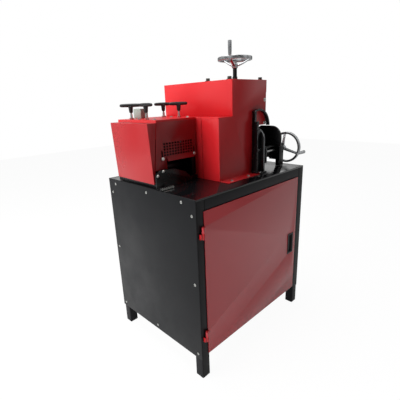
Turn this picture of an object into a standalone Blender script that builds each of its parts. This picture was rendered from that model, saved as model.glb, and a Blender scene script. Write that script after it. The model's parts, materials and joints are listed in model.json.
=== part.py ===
"""Wire stripping machine: a steel cabinet that carries a small stripping unit for thin wires and a
large unit for thick cable, with an adjustable cable guide beside the large one.

Metres, +Z up. The red door faces -Y, wire is fed along +Y, every roller shaft lies along X. The
sub-parts are placed from the middle of the cabinet, and the empty that carries them all stands
where the origin is on the floor under the middle of the whole machine. Names that end in HEIGHT
or RISE in the parts above the deck are measured from the deck.
"""
import math

import bmesh
import bpy
from mathutils import Matrix, Vector

# Fits and sheet
FIT = 0.0003
RUNNING = 0.0005
SHEET = 0.002
BITE = 0.001

# Cabinet
CABINET_WIDTH = 0.724
CABINET_DEPTH = 0.550
CABINET_HEIGHT = 0.740
TUBE = 0.040
TUBE_WALL = 0.002
FOOT_PLATE = 0.003
PANEL = 0.0025
TOP_THICKNESS = 0.007
PANEL_BOTTOM = 0.089
TRAY_BOTTOM = 0.106
TRAY_DEPTH = 0.036
SCREW_HEAD_RADIUS = 0.0055
SCREW_HEAD_HEIGHT = 0.0026
PANEL_TOP_SCREWS = (-0.8, 0, 0.88)
SCREW_INSET = 0.020
GLAND_RADIUS = 0.014
GLAND_LENGTH = 0.022

# Door
DOOR_LEFT_INSET = 0.036
DOOR_RIGHT_INSET = 0.050
DOOR_BOTTOM = 0.103
DOOR_THICKNESS = 0.0025
DOOR_RIM_DEPTH = 0.015
DOOR_RIM_INSET = 0.013
DOOR_STOP = 0.017
HINGE_RADIUS = 0.006
HINGE_LENGTH = 0.044
HINGE_STAND_OFF = 0.0055
HINGE_OUTSET = 0.011
HINGE_LEAF = 0.0024
UPPER_HINGE_DROP = 0.098
LOWER_HINGE_RISE = 0.067
PULL_WIDTH = 0.048
PULL_HEIGHT = 0.105
PULL_RISE = 0.264
PULL_INSET = 0.022
PULL_DEPTH = 0.012
PULL_LIP = 0.005

# Red covers of the large unit
COVER_SETBACK = 0.1014
COVER_DEPTH = 0.4136
LOWER_INSET = 0.237
LOWER_WIDTH = 0.214
UPPER_SHIFT = 0.083
UPPER_WIDTH = 0.229
LEDGE_HEIGHT = 0.250
OVERHANG_HEIGHT = 0.203
HOOD_HEIGHT = 0.389
HOOD_LIP = 0.050
SEAM_SETBACK = 0.0941
SEAM_GAP = 0.002
FLANGE_DEPTH = 0.050
FLANGE_CUT = 0.026
FLANGE_MITRE = 0.017
FLANGE_BOLT_SETOUT = 0.0325
FLANGE_BOLT_INSETS = (0.035, 0.143)
FACE_BOLT_INSET = 0.011
FACE_BOLT_RISE = 0.008
FACE_BOLT_DROP = 0.081
HOOD_BOLT_RADIUS = 0.0095
HOOD_BOLT_HEIGHT = 0.012
HOOD_BOLT_INSET = 0.012
HOOD_BOLT_END = 0.024
HOOD_BOLT_SPAN = 0.116

# Rollers of the large unit
SCREW_SETBACK = 0.1236
ROLLER_PLATE = 0.010
ROLLER_GAP_WIDTH = 0.053
ROLLER_PLATE_DEPTH = 0.110
WINDOW_HALF = 0.020
LOWER_AXIS_RISE = 0.110
FEED_RADIUS = 0.042
ROLLER_OPENING = 0.011
PRESS_DOWN = 0.010
PRESS_UP = 0.045
FEED_SHAFT = 0.012
YOKE_KEY = 0.018
YOKE_ARM = 0.005
YOKE_HEADROOM = 0.008
YOKE_BAR = 0.018
BRIDGE = 0.016
PRESSURE_SCREW = 0.009
BUSH_HEIGHT = 0.020
BUSH_RADIUS = 0.014
BLADE = 0.002

# Handwheels
WHEEL_RADIUS = 0.075
RIM_WIDTH = 0.011
RIM_HEIGHT = 0.015
RIM_CLEARANCE = 0.005
WHEEL_DISH = 0.028
HUB_RADIUS = 0.013
HUB_HEIGHT = 0.020
SPOKE_RADIUS = 0.005
CRANK_RADIUS = 0.008
CRANK_LENGTH = 0.057
CRANK_PIN = 0.004
TOP_RIM_RISE = 0.093
TOP_CRANK_ANGLE = math.radians(202)
SIDE_CRANK_ANGLE = math.radians(203)

# Cable guide beside the covers
POST_LAP = 0.006
POST_WIDTH = 0.027
POST_DEPTH = 0.0285
POST_SETBACK = 0.0029
POST_HEIGHT = 0.185
POST_NECK_HEIGHT = 0.222
POST_FOOT = 0.006
FOOT_MARGIN = 0.020
FOOT_FRONT = 0.018
SHELF = 0.004
HOOP_OFFSET = 0.035
HOOP_HEIGHT = 0.198
HOOP_RADIUS = 0.074
HOOP_BAR = 0.007
HOOP_DEPTH = 0.0155
NECK_WIDTH = 0.010
HOOP_END = math.radians(2)
CHEEK = 0.008
CHEEK_RADIUS = 0.050
CHEEK_HEIGHT = 0.146
CHEEK_CORNER = 0.012
CHEEK_SHOULDER = 0.066
SLIDING_CHEEK_LEAD = 0.0184
FIXED_CHEEK_SETBACK = 0.0031
CHEEK_OPENING = 0.0867
TABLE_GAP = 0.060
TABLE_LENGTH = 0.1485
TABLE_LEAD = 0.0119
TABLE_DEPTH = 0.0955
TABLE_HEIGHT = 0.1065
TABLE_PLATE = 0.008
TABLE_LEG = 0.028
TABLE_FOOT = 0.036
TABLE_FOOT_DEPTH = 0.020
TABLE_OPENING = 0.030
NUT_OFFSET = 0.051
NUT_WIDTH = 0.029
NUT_DEPTH = 0.056
NUT_HEIGHT = 0.062
NECK = 0.018
GUIDE_LEAD = 0.0004
GUIDE_RISE = 0.0795
GUIDE_SCREW = 0.006

# Small unit
SMALL_INSET = 0.035
SMALL_WIDTH = 0.199
SMALL_SETBACK = 0.225
SMALL_DEPTH = 0.255
SMALL_HEIGHT = 0.252
SMALL_LEAN = 0.023
BASE_THICKNESS = 0.0165
COVER_BULGE = 0.039
COVER_FOOT = 0.006
COVER_DROP = 0.010
COVER_LENGTH = 0.250
BEARING_PLATE = 0.020
BEARING_INSET = 0.017
FRONT_SHAFT_SETBACK = 0.078
SHAFT_SPACING = 0.101
SMALL_AXIS_RISE = 0.060
SMALL_SHAFT_DISTANCE = 0.0505
SMALL_ROLLER = 0.024
SMALL_GEAR = 0.0235
GEAR_WIDTH = 0.007
SMALL_SHAFT = 0.010
BLOCK_HALF = 0.0165
BLOCK_BELOW = 0.0175
BLOCK_ABOVE = 0.0355
BLOCK_TRAVEL = 0.003
TIE = 0.009
STUD = 0.005
T_BAR_RISE = 0.0535
T_STEM_RISE = 0.025
T_BAR_LENGTH = 0.088
T_BAR_RADIUS = 0.0078
T_STEM_TOP = 0.0095
T_STEM_BOTTOM = 0.007
T_ANGLES = {"front_left": 86.0, "rear_left": -44.0, "front_right": -9.0, "rear_right": -7.0}
NOSE_DEPTH = 0.006
NOSE_GAP = 0.006
NOSE_HEIGHT = 0.070
NOSE_LENGTH = 0.1985
NOSE_LAP = 0.004
NOSE_SLOPE = ((0.74, 0.65), (0.47, 0.93), (0.105, 1), (0, 0.8))
BAR_LEAD = 0.033
BAR_INSET = 0.0025
BAR_LENGTH = 0.0615
BAR_HEIGHT = 0.012
BAR_DEPTH = 0.008
BUSH_INSET = 0.005
BUSH_PITCH = 0.0102

# Front guard of the small unit
GUARD_SIDE = 0.004
GUARD_DROP = 0.008
GUARD_BEND_HEIGHT = 0.115
GUARD_EDGE_HEIGHT = 0.098
GUARD_TAB_HEIGHT = 0.068
GUARD_TAB_WIDTH = 0.055
GUARD_RIGHT_TAB = 0.020
GUARD_FLARE = 0.010
GRILLE_COLUMNS = 11
GRILLE_ROWS = 5
GRILLE_OFFSET = 0.099
GRILLE_HEIGHT = 0.142
GRILLE_PITCH_X = 0.0138
GRILLE_PITCH_Z = 0.0106
GRILLE_HOLE_X = 0.0095
GRILLE_HOLE_Z = 0.0075
GUARD_TRAVEL = 0.025
GUARD_BOLT = 0.0033
GUARD_BOLT_HEIGHT = 0.109

# Drive inside the cabinet
DRIVE_Y = 0.040
DRIVE_RISE = 0.150
DRIVE_SHAFT = 0.010
SPROCKET_RADIUS = 0.0200
SPROCKET_WIDTH = 0.008
CHAIN_THICKNESS = 0.006
CHAIN_GAP = 0.003
CHAIN_INSET = 0.034
MOTOR_RADIUS = 0.065
MOTOR_LENGTH = 0.118
GEARBOX_WIDTH = 0.110
GEARBOX_DEPTH = 0.150

# Switch box
SWITCH_OFFSET = 0.076
SWITCH_WIDTH = 0.036
SWITCH_DEPTH = 0.052
SWITCH_HEIGHT = 0.039
SWITCH_MARGIN = 0.005
BUTTON_RADIUS = 0.0075
BUTTON_WELL = 0.012
BUTTON_PROUD = 0.003

# Worked out from the above
HALF_X = CABINET_WIDTH / 2 - PANEL - FIT
HALF_Y = CABINET_DEPTH / 2
PLATE_BOTTOM = CABINET_HEIGHT - TOP_THICKNESS
LEG_TOP = PLATE_BOTTOM - FIT
TRAY_TOP = TRAY_BOTTOM + TRAY_DEPTH
DECK = CABINET_HEIGHT + FIT
DOOR_BACK = -HALF_Y - RUNNING
DOOR_FRONT = DOOR_BACK - DOOR_THICKNESS
COVER_FRONT = COVER_SETBACK - CABINET_DEPTH / 2
COVER_BACK = COVER_FRONT + COVER_DEPTH
COVER_SEAM = COVER_FRONT + SEAM_SETBACK
COVER_INNER = COVER_FRONT + SHEET + FIT
LOWER_LEFT = LOWER_INSET - CABINET_WIDTH / 2
LOWER_RIGHT = LOWER_LEFT + LOWER_WIDTH
UPPER_LEFT = LOWER_LEFT + UPPER_SHIFT
UPPER_RIGHT = UPPER_LEFT + UPPER_WIDTH
LEDGE_Z = CABINET_HEIGHT + LEDGE_HEIGHT
OVERHANG_Z = CABINET_HEIGHT + OVERHANG_HEIGHT
HOOD_TOP = CABINET_HEIGHT + HOOD_HEIGHT
SCREW_X = LOWER_RIGHT + RUNNING + ROLLER_PLATE + ROLLER_GAP_WIDTH / 2
SCREW_Y = COVER_FRONT + SCREW_SETBACK
LOWER_AXIS_Z = CABINET_HEIGHT + LOWER_AXIS_RISE
UPPER_AXIS_Z = LOWER_AXIS_Z + 2 * FEED_RADIUS + ROLLER_OPENING
YOKE_BAR_Z = UPPER_AXIS_Z + FEED_RADIUS + YOKE_HEADROOM
TOP_RIM_Z = HOOD_TOP + TOP_RIM_RISE
CRANK_REACH = WHEEL_RADIUS - RIM_WIDTH / 2
POST_LEFT = LOWER_RIGHT - POST_LAP
POST_BACK = COVER_FRONT - POST_SETBACK
POST_FRONT = POST_BACK - POST_DEPTH
FIXED_CHEEK_X = POST_LEFT + POST_WIDTH + FIT
SLIDING_CHEEK_X = FIXED_CHEEK_X + CHEEK + CHEEK_OPENING
FIXED_CHEEK_Y = COVER_FRONT + FIXED_CHEEK_SETBACK
SLIDING_CHEEK_Y = COVER_FRONT - SLIDING_CHEEK_LEAD
CHEEK_Z = CABINET_HEIGHT + CHEEK_HEIGHT
TABLE_LEFT = FIXED_CHEEK_X + CHEEK + TABLE_GAP
TABLE_FRONT = COVER_FRONT - TABLE_LEAD
GUIDE_Y = COVER_FRONT - GUIDE_LEAD
TABLE_RIGHT = TABLE_LEFT + TABLE_LENGTH
TABLE_TOP = CABINET_HEIGHT + TABLE_HEIGHT
GUIDE_Z = CABINET_HEIGHT + GUIDE_RISE
SIDE_RIM_X = TABLE_RIGHT + RUNNING + HUB_HEIGHT / 2 + WHEEL_DISH + RIM_CLEARANCE
SMALL_LEFT = SMALL_INSET - CABINET_WIDTH / 2
SMALL_FRONT = SMALL_SETBACK - CABINET_DEPTH / 2
SMALL_RIGHT = SMALL_LEFT + SMALL_WIDTH
SMALL_BACK = SMALL_FRONT + SMALL_DEPTH
SMALL_TOP = CABINET_HEIGHT + SMALL_HEIGHT
BASE_TOP = DECK + BASE_THICKNESS
SMALL_SEAT = BASE_TOP + FIT
PLATE_XS = {"left": SMALL_LEFT + BEARING_INSET, "right": SMALL_RIGHT - BEARING_INSET}
SHAFT_YS = {"front": SMALL_FRONT + FRONT_SHAFT_SETBACK,
            "rear": SMALL_FRONT + FRONT_SHAFT_SETBACK + SHAFT_SPACING}
SMALL_LOWER_Z = CABINET_HEIGHT + SMALL_AXIS_RISE
SMALL_UPPER_Z = SMALL_LOWER_Z + SMALL_SHAFT_DISTANCE
BLOCK_TOP = SMALL_UPPER_Z + BLOCK_ABOVE
BLOCK_BOTTOM = SMALL_UPPER_Z - BLOCK_BELOW
T_BAR_Z = SMALL_TOP + T_BAR_RISE
T_STEM_Z = SMALL_TOP + T_STEM_RISE
GUARD_BOLT_Z = CABINET_HEIGHT + GUARD_BOLT_HEIGHT
DRIVE_Z = PANEL_BOTTOM + DRIVE_RISE
SMALL_CHAIN_X = PLATE_XS["left"] + BEARING_PLATE / 2 + SPROCKET_WIDTH / 2 + CHAIN_GAP
LARGE_CHAIN_X = LOWER_RIGHT - CHAIN_INSET

for old in list(bpy.data.objects):
    bpy.data.objects.remove(old)
PARTS = bpy.data.collections.new("wire_stripping_machine")
bpy.context.scene.collection.children.link(PARTS)


def empty(name, location, parent=None):
    """An empty on a joint's axis, or at the middle of the cabinet."""
    joint = bpy.data.objects.new(name, None)
    PARTS.objects.link(joint)
    joint.parent = parent
    base = parent.matrix_world.translation if parent else Vector()
    joint.location = Vector(location) - base
    bpy.context.view_layer.update()
    return joint


def finish(name, colour, roughness, metallic):
    """A plain Principled material."""
    made = bpy.data.materials.new(name)
    made.use_nodes = True
    shader = made.node_tree.nodes["Principled BSDF"]
    shader.inputs["Base Color"].default_value = (*colour, 1)
    shader.inputs["Roughness"].default_value = roughness
    shader.inputs["Metallic"].default_value = metallic
    return made


BLACK = finish("black_powder_coat", (0.012, 0.012, 0.014), 0.35, 0)
PANEL_BLACK = finish("black_panel_coat", (0.03, 0.03, 0.032), 0.45, 0)
RED = finish("red_powder_coat", (0.62, 0.03, 0.03), 0.35, 0)
STEEL = finish("bright_steel", (0.55, 0.55, 0.56), 0.35, 1)
CHROME = finish("chrome", (0.8, 0.8, 0.8), 0.08, 1)
PLASTIC = finish("black_plastic", (0.01, 0.01, 0.01), 0.5, 0)
GREY = finish("grey_enamel", (0.35, 0.38, 0.37), 0.45, 0)
GREEN = finish("green_button", (0.02, 0.3, 0.08), 0.4, 0)


def from_mesh(name, mesh):
    piece = bpy.data.objects.new(name, mesh)
    PARTS.objects.link(piece)
    return piece


def box(name, low, high):
    """A box between two corners."""
    cube = bmesh.new()
    bmesh.ops.create_cube(cube, size=1)
    for corner in cube.verts:
        corner.co = [far if side > 0 else near for side, near, far in zip(corner.co, low, high)]
    mesh = bpy.data.meshes.new(name)
    cube.to_mesh(mesh)
    cube.free()
    return from_mesh(name, mesh)


def rod(name, start, end, radius, end_radius=None, sides=24):
    """A round or six-sided bar, or a cone, between two points."""
    start, end = Vector(start), Vector(end)
    cone = bmesh.new()
    tip = radius if end_radius is None else end_radius
    bmesh.ops.create_cone(cone, cap_ends=True, segments=sides, radius1=radius, radius2=tip,
                          depth=(end - start).length)
    turn = (end - start).to_track_quat("Z", "Y").to_matrix().to_4x4()
    bmesh.ops.transform(cone, matrix=Matrix.Translation((start + end) / 2) @ turn, verts=cone.verts)
    mesh = bpy.data.meshes.new(name)
    cone.to_mesh(mesh)
    cone.free()
    return from_mesh(name, mesh)


def weld_points(mesh, distance):
    """Merges a mesh's doubles and turns its faces outwards."""
    welded = bmesh.new()
    welded.from_mesh(mesh)
    bmesh.ops.remove_doubles(welded, verts=welded.verts, dist=distance)
    bmesh.ops.recalc_face_normals(welded, faces=welded.faces)
    welded.to_mesh(mesh)
    welded.free()


# Turns a flat outline drawn in (y, z), (x, z) or (x, y) to stand across the axis x, y or z
ACROSS = {"x": Matrix(((0, 0, 1, 0), (1, 0, 0, 0), (0, 1, 0, 0), (0, 0, 0, 1))),
          "y": Matrix.Rotation(math.pi / 2, 4, "X"), "z": Matrix()}


def plate(name, axis, low, high, *outlines):
    """A flat outline, with any holes after it, from low to high along the axis."""
    curve = bpy.data.curves.new(name, "CURVE")
    curve.dimensions = "2D"
    curve.fill_mode = "BOTH"
    curve.extrude = (high - low) / 2
    for outline in outlines:
        spline = curve.splines.new("POLY")
        spline.points.add(len(outline) - 1)
        for point, (across, up) in zip(spline.points, outline):
            point.co = (across, up, 0, 1)
        spline.use_cyclic_u = True
    flat = bpy.data.objects.new(name, curve)
    PARTS.objects.link(flat)
    bpy.context.view_layer.update()
    mesh = bpy.data.meshes.new_from_object(flat.evaluated_get(bpy.context.evaluated_depsgraph_get()))
    bpy.data.objects.remove(flat)
    middle = {key: (low + high) / 2 if key == axis else 0 for key in "xyz"}
    mesh.transform(Matrix.Translation(tuple(middle.values())) @ ACROSS[axis])
    side = "xyz".index(axis)
    for point in mesh.vertices:
        point.co[side] = high if point.co[side] > middle[axis] else low
    weld_points(mesh, 0.00001)
    return from_mesh(name, mesh)


def bake(piece):
    """Turns a piece's modifiers into its mesh."""
    bpy.context.view_layer.update()
    seen = piece.evaluated_get(bpy.context.evaluated_depsgraph_get())
    mesh = bpy.data.meshes.new_from_object(seen)
    piece.modifiers.clear()
    piece.data = mesh
    weld_points(mesh, 0.000001)


def turned(name, profile, place, sides=32):
    """A turned piece: (radius, height) down its outside, turned about Z, then placed."""
    line = bpy.data.meshes.new(name)
    line.from_pydata([(radius, 0, height) for radius, height in profile],
                     [(i, i + 1) for i in range(len(profile) - 1)], [])
    piece = from_mesh(name, line)
    screw = piece.modifiers.new("turn", "SCREW")
    screw.steps = screw.render_steps = sides
    screw.use_merge_vertices = True
    screw.merge_threshold = 0.00001
    bake(piece)
    piece.data.transform(place)
    return piece


def combine(piece, operation, others):
    """Welds other shapes to a piece, or cuts them out of it, and uses them up."""
    for other in others:
        step = piece.modifiers.new(operation, "BOOLEAN")
        step.operation = operation
        step.object = other
        step.solver = "EXACT"
    bake(piece)
    for other in others:
        bpy.data.objects.remove(other)
    return piece


def weld(piece, *others):
    return combine(piece, "UNION", others)


def cut(piece, *others):
    return combine(piece, "DIFFERENCE", others)


def dress(piece, material, parent, smooth=False):
    """Gives a piece its own copy of a material and hangs it on its parent."""
    own = material.copy()
    own.name = piece.name
    piece.data.materials.clear()
    piece.data.materials.append(own)
    if smooth:
        piece.data.shade_smooth()
        piece.data.set_sharp_from_angle(angle=math.radians(35))
    piece.data.transform(Matrix.Translation(-parent.matrix_world.translation))
    piece.parent = parent
    return piece


def arc(middle, radius, start, end, steps):
    """Points along an arc, ends included."""
    turn = (end - start) / steps
    return [(middle[0] + radius * math.cos(start + i * turn),
             middle[1] + radius * math.sin(start + i * turn)) for i in range(steps + 1)]


def circle(middle, radius, steps=24):
    return arc(middle, radius, 0, math.tau, steps)[:-1]


def rectangle(left, right, bottom, top):
    return [(left, bottom), (right, bottom), (right, top), (left, top)]


def head(spot, axis, radius, height, sides=6, taper=1.0):
    """A screw, bolt or nut whose foot bites a little into the piece that it is welded to."""
    spot, axis = Vector(spot), Vector(axis)
    return rod("head", spot - axis * BITE, spot + axis * height, radius, radius * taper, sides)


def tube(name, axis, low, high, capped=False):
    """A square tube with its wall, open at both ends, or only at the top on a leg."""
    low, high = Vector(low), Vector(high)
    inner_low, inner_high = low.copy(), high.copy()
    for side in range(3):
        if side != axis:
            inner_low[side] += TUBE_WALL
            inner_high[side] -= TUBE_WALL
    inner_low[axis] += FOOT_PLATE if capped else -TUBE
    inner_high[axis] += TUBE
    return cut(box(name, low, high), box("bore", inner_low, inner_high))


def frame(root):
    """The four legs and the four rails under the deck."""
    for front in (True, False):
        for left in (True, False):
            x = -HALF_X if left else HALF_X - TUBE
            y = -HALF_Y if front else HALF_Y - TUBE
            name = f"leg_{'front' if front else 'rear'}_{'left' if left else 'right'}"
            leg = tube(name, 2, (x, y, 0), (x + TUBE, y + TUBE, LEG_TOP), capped=True)
            if front and not left:
                stop_y = y + TUBE_WALL
                weld(leg, box("stop", (x - DOOR_STOP, stop_y, TRAY_TOP + FIT),
                              (x + TUBE_WALL / 2, stop_y + TUBE_WALL, LEG_TOP - TUBE - FIT)))
            dress(leg, BLACK, root)
    inner_x, inner_y = HALF_X - TUBE - FIT, HALF_Y - TUBE - FIT
    rail_low = LEG_TOP - TUBE
    for name, sign in (("front", -1), ("rear", 1)):
        near, far = sorted((sign * HALF_Y, sign * (HALF_Y - TUBE)))
        rail = tube(f"top_rail_{name}", 0, (-inner_x, near, rail_low), (inner_x, far, LEG_TOP))
        dress(rail, BLACK, root)
    for name, sign in (("left", -1), ("right", 1)):
        near, far = sorted((sign * HALF_X, sign * (HALF_X - TUBE)))
        rail = tube(f"top_rail_{name}", 1, (near, -inner_y, rail_low), (far, inner_y, LEG_TOP))
        dress(rail, BLACK, root)


def bottom_tray(root):
    """A folded sheet tray, notched at its corners for the legs."""
    tray = box("bottom_tray", (-HALF_X, -HALF_Y, TRAY_BOTTOM), (HALF_X, HALF_Y, TRAY_TOP))
    reach = TUBE + FIT
    cut(tray, *[box("notch", (x - reach, y - reach, 0), (x + reach, y + reach, TRAY_TOP + TUBE))
                for x in (-HALF_X, HALF_X) for y in (-HALF_Y, HALF_Y)])
    floor, top = TRAY_BOTTOM + FOOT_PLATE, TRAY_TOP + TUBE
    long_x, long_y = HALF_X - PANEL, HALF_Y - PANEL
    short_x, short_y = HALF_X - reach - PANEL, HALF_Y - reach - PANEL
    cut(tray, box("hollow", (-long_x, -short_y, floor), (long_x, short_y, top)),
        box("hollow", (-short_x, -long_y, floor), (short_x, long_y, top)))
    dress(tray, BLACK, root)


def chain_slots(low, high):
    """Cutters where the two chains come up through the deck."""
    slots = []
    ends = ((SMALL_CHAIN_X, SHAFT_YS["rear"], SMALL_LOWER_Z), (LARGE_CHAIN_X, SCREW_Y, LOWER_AXIS_Z))
    for x, y, z in ends:
        share = (CABINET_HEIGHT - DRIVE_Z) / (z - DRIVE_Z)
        middle = DRIVE_Y + share * (y - DRIVE_Y)
        half = SPROCKET_RADIUS + CHAIN_THICKNESS + SPROCKET_WIDTH
        slots.append(box("slot", (x - SPROCKET_WIDTH, middle - half, low),
                         (x + SPROCKET_WIDTH, middle + half, high)))
    return slots


def panels(root):
    """The deck, and the screwed side and rear panels with their pan-head screws."""
    top = box("top_plate", (-HALF_X, -HALF_Y, PLATE_BOTTOM), (HALF_X, HALF_Y, CABINET_HEIGHT))
    cut(top, *chain_slots(PLATE_BOTTOM - TUBE, CABINET_HEIGHT + TUBE))
    dress(top, BLACK, root)

    low, high = PANEL_BOTTOM + SCREW_INSET, CABINET_HEIGHT - SCREW_INSET
    side = HALF_Y - SCREW_INSET
    column = (low, (low + high) / 2, high - 2 * SCREW_INSET)
    side_spots = [(share * side, high) for share in PANEL_TOP_SCREWS] + [(0, low)]
    side_spots += [(y, z) for y in (-side, side) for z in column]
    for name, sign in (("left_panel", -1), ("right_panel", 1)):
        near, far = sorted((sign * (HALF_X + FIT), sign * CABINET_WIDTH / 2))
        panel = box(name, (near, -HALF_Y, PANEL_BOTTOM), (far, HALF_Y, CABINET_HEIGHT))
        weld(panel, *[head((sign * CABINET_WIDTH / 2, y, z), (sign, 0, 0), SCREW_HEAD_RADIUS,
                           SCREW_HEAD_HEIGHT, 8, 0.6) for y, z in side_spots])
        dress(panel, PANEL_BLACK, root)
    rear_y = HALF_Y + FIT
    rear = box("rear_panel", (-CABINET_WIDTH / 2, rear_y, PANEL_BOTTOM),
               (CABINET_WIDTH / 2, rear_y + PANEL, CABINET_HEIGHT))
    reach = HALF_X - SCREW_INSET
    weld(rear, *[head((x, rear_y + PANEL, z), (0, 1, 0), SCREW_HEAD_RADIUS, SCREW_HEAD_HEIGHT, 8, 0.6)
                 for x in (-reach, 0, reach) for z in (low, (low + high) / 2, high)])
    dress(rear, PANEL_BLACK, root)

    place = Matrix.Translation((-reach * 0.7, rear_y + PANEL + FIT, DRIVE_Z - TRAY_DEPTH)) @ Matrix.Rotation(
        -math.pi / 2, 4, "X")
    nut = GLAND_LENGTH * 0.3
    gland = turned("cable_gland", [(0, GLAND_LENGTH), (GLAND_RADIUS * 0.65, GLAND_LENGTH),
                                   (GLAND_RADIUS * 0.8, nut), (GLAND_RADIUS, nut), (GLAND_RADIUS, 0),
                                   (0, 0)], place, 16)
    dress(gland, PLASTIC, root, smooth=True)


def hinge_half(name, axis_x, axis_y, low, high):
    """A knuckle between two heights."""
    return rod(name, (axis_x, axis_y, low), (axis_x, axis_y, high), HINGE_RADIUS, sides=16)


def door(root):
    """A sheet door with a folded rim, on two lift-off hinges, with a recessed pull."""
    left, right = -CABINET_WIDTH / 2 + DOOR_LEFT_INSET, CABINET_WIDTH / 2 - DOOR_RIGHT_INSET
    top = LEG_TOP - TUBE
    axis_x, axis_y = left - HINGE_OUTSET, DOOR_FRONT - HINGE_STAND_OFF
    hinge = empty("door_axis", (axis_x, axis_y, 0), root)
    sheet = box("door", (left, DOOR_FRONT, DOOR_BOTTOM), (right, DOOR_BACK, top))
    rim = (left + DOOR_RIM_INSET, right - DOOR_RIM_INSET, TRAY_TOP + 2 * RUNNING, top - DOOR_RIM_INSET)
    ring = plate("rim", "y", DOOR_BACK - BITE, DOOR_BACK + DOOR_RIM_DEPTH, rectangle(*rim),
                 rectangle(rim[0] + SHEET, rim[1] - SHEET, rim[2] + SHEET, rim[3] - SHEET))
    weld(sheet, ring)
    pull_right = right - PULL_INSET
    pull_left = pull_right - PULL_WIDTH
    low, high = DOOR_BOTTOM + PULL_RISE - PULL_HEIGHT / 2, DOOR_BOTTOM + PULL_RISE + PULL_HEIGHT / 2
    lip = PULL_LIP
    cut(sheet, box("pull_hole", (pull_left + lip - FIT, DOOR_FRONT - TUBE, low + lip - FIT),
                   (pull_right - lip + FIT, DOOR_BACK + TUBE, high - lip + FIT)))
    half_leaf = HINGE_LEAF / 2
    knuckles, bores = [], []
    for name, low_z in (("upper_door_hinge", top - UPPER_HINGE_DROP), ("lower_door_hinge",
                                                                      DOOR_BOTTOM + LOWER_HINGE_RISE)):
        split, high_z = low_z + HINGE_LENGTH / 2, low_z + HINGE_LENGTH
        foot = left + 2 * half_leaf
        knuckles.append(hinge_half("knuckle", axis_x, axis_y, split + FIT, high_z))
        knuckles.append(box("leaf", (axis_x, axis_y - half_leaf, split + SHEET),
                            (foot, axis_y + half_leaf, high_z - SHEET)))
        knuckles.append(box("leaf", (left, axis_y - half_leaf, split + SHEET),
                            (foot, DOOR_BACK - BITE, high_z - SHEET)))
        bores.append(rod("bore", (axis_x, axis_y, low_z), (axis_x, axis_y, high_z + TUBE),
                         HINGE_RADIUS / 2 + FIT, sides=12))
        lower = hinge_half(name, axis_x, axis_y, low_z, split)
        edge = axis_x - 2 * HINGE_RADIUS
        pin = rod("pin", (axis_x, axis_y, low_z - SHEET), (axis_x, axis_y, high_z + SHEET),
                  HINGE_RADIUS / 2, sides=12)
        weld(lower, pin, box("leaf", (edge, axis_y - half_leaf, low_z + SHEET),
                             (axis_x, axis_y + half_leaf, split - SHEET)),
             box("leaf", (edge - half_leaf, axis_y - half_leaf, low_z + SHEET),
                 (edge + half_leaf, -HALF_Y - FIT, split - SHEET)))
        dress(lower, RED, root)
    weld(sheet, *knuckles)
    cut(sheet, *bores)
    dress(sheet, RED, hinge)

    pull = box("door_pull", (pull_left, DOOR_FRONT - FIT - SHEET, low), (pull_right, DOOR_FRONT - FIT, high))
    weld(pull, box("bucket", (pull_left + lip, DOOR_FRONT - BITE, low + lip),
                   (pull_right - lip, DOOR_FRONT + PULL_DEPTH, high - lip)))
    wall = lip + SHEET
    cut(pull, box("recess", (pull_left + wall, DOOR_FRONT - TUBE, low + wall),
                  (pull_right - wall, DOOR_FRONT + PULL_DEPTH - SHEET, high - wall)))
    dress(pull, PLASTIC, hinge)


def front_cover(root):
    """The bent front sheet of both covers, with its bolted foot flange."""
    back = COVER_FRONT + SHEET
    outline = [(LOWER_LEFT, DECK), (LOWER_RIGHT, DECK), (LOWER_RIGHT, OVERHANG_Z),
               (UPPER_RIGHT, OVERHANG_Z), (UPPER_RIGHT, HOOD_TOP - HOOD_LIP),
               (UPPER_RIGHT + SHEET, HOOD_TOP - HOOD_LIP), (UPPER_RIGHT + SHEET, HOOD_TOP),
               (UPPER_LEFT, HOOD_TOP), (UPPER_LEFT, LEDGE_Z), (LOWER_LEFT, LEDGE_Z)]
    sheet = plate("front_cover", "y", COVER_FRONT, back, outline)
    fold = box("fold", (LOWER_LEFT, COVER_FRONT, DECK), (LOWER_LEFT + SHEET, COVER_SEAM - SEAM_GAP, LEDGE_Z))
    edge = COVER_FRONT - FLANGE_DEPTH
    flange_right = LOWER_RIGHT - FLANGE_CUT
    flange = plate("flange", "z", DECK, DECK + SHEET,
                   [(LOWER_LEFT, back), (LOWER_LEFT, edge), (flange_right + FLANGE_MITRE, edge),
                    (flange_right, COVER_FRONT), (flange_right, back)])
    bolts = [head((LOWER_LEFT + inset, COVER_FRONT - FLANGE_BOLT_SETOUT, DECK + SHEET), (0, 0, 1),
                  0.006, 0.005) for inset in FLANGE_BOLT_INSETS]
    bolts += [head((UPPER_RIGHT - FACE_BOLT_INSET, COVER_FRONT, z), (0, -1, 0), 0.0055, 0.0025)
              for z in (OVERHANG_Z + FACE_BOLT_RISE, HOOD_TOP - FACE_BOLT_DROP)]
    dress(weld(sheet, fold, flange, *bolts), RED, root)


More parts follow.
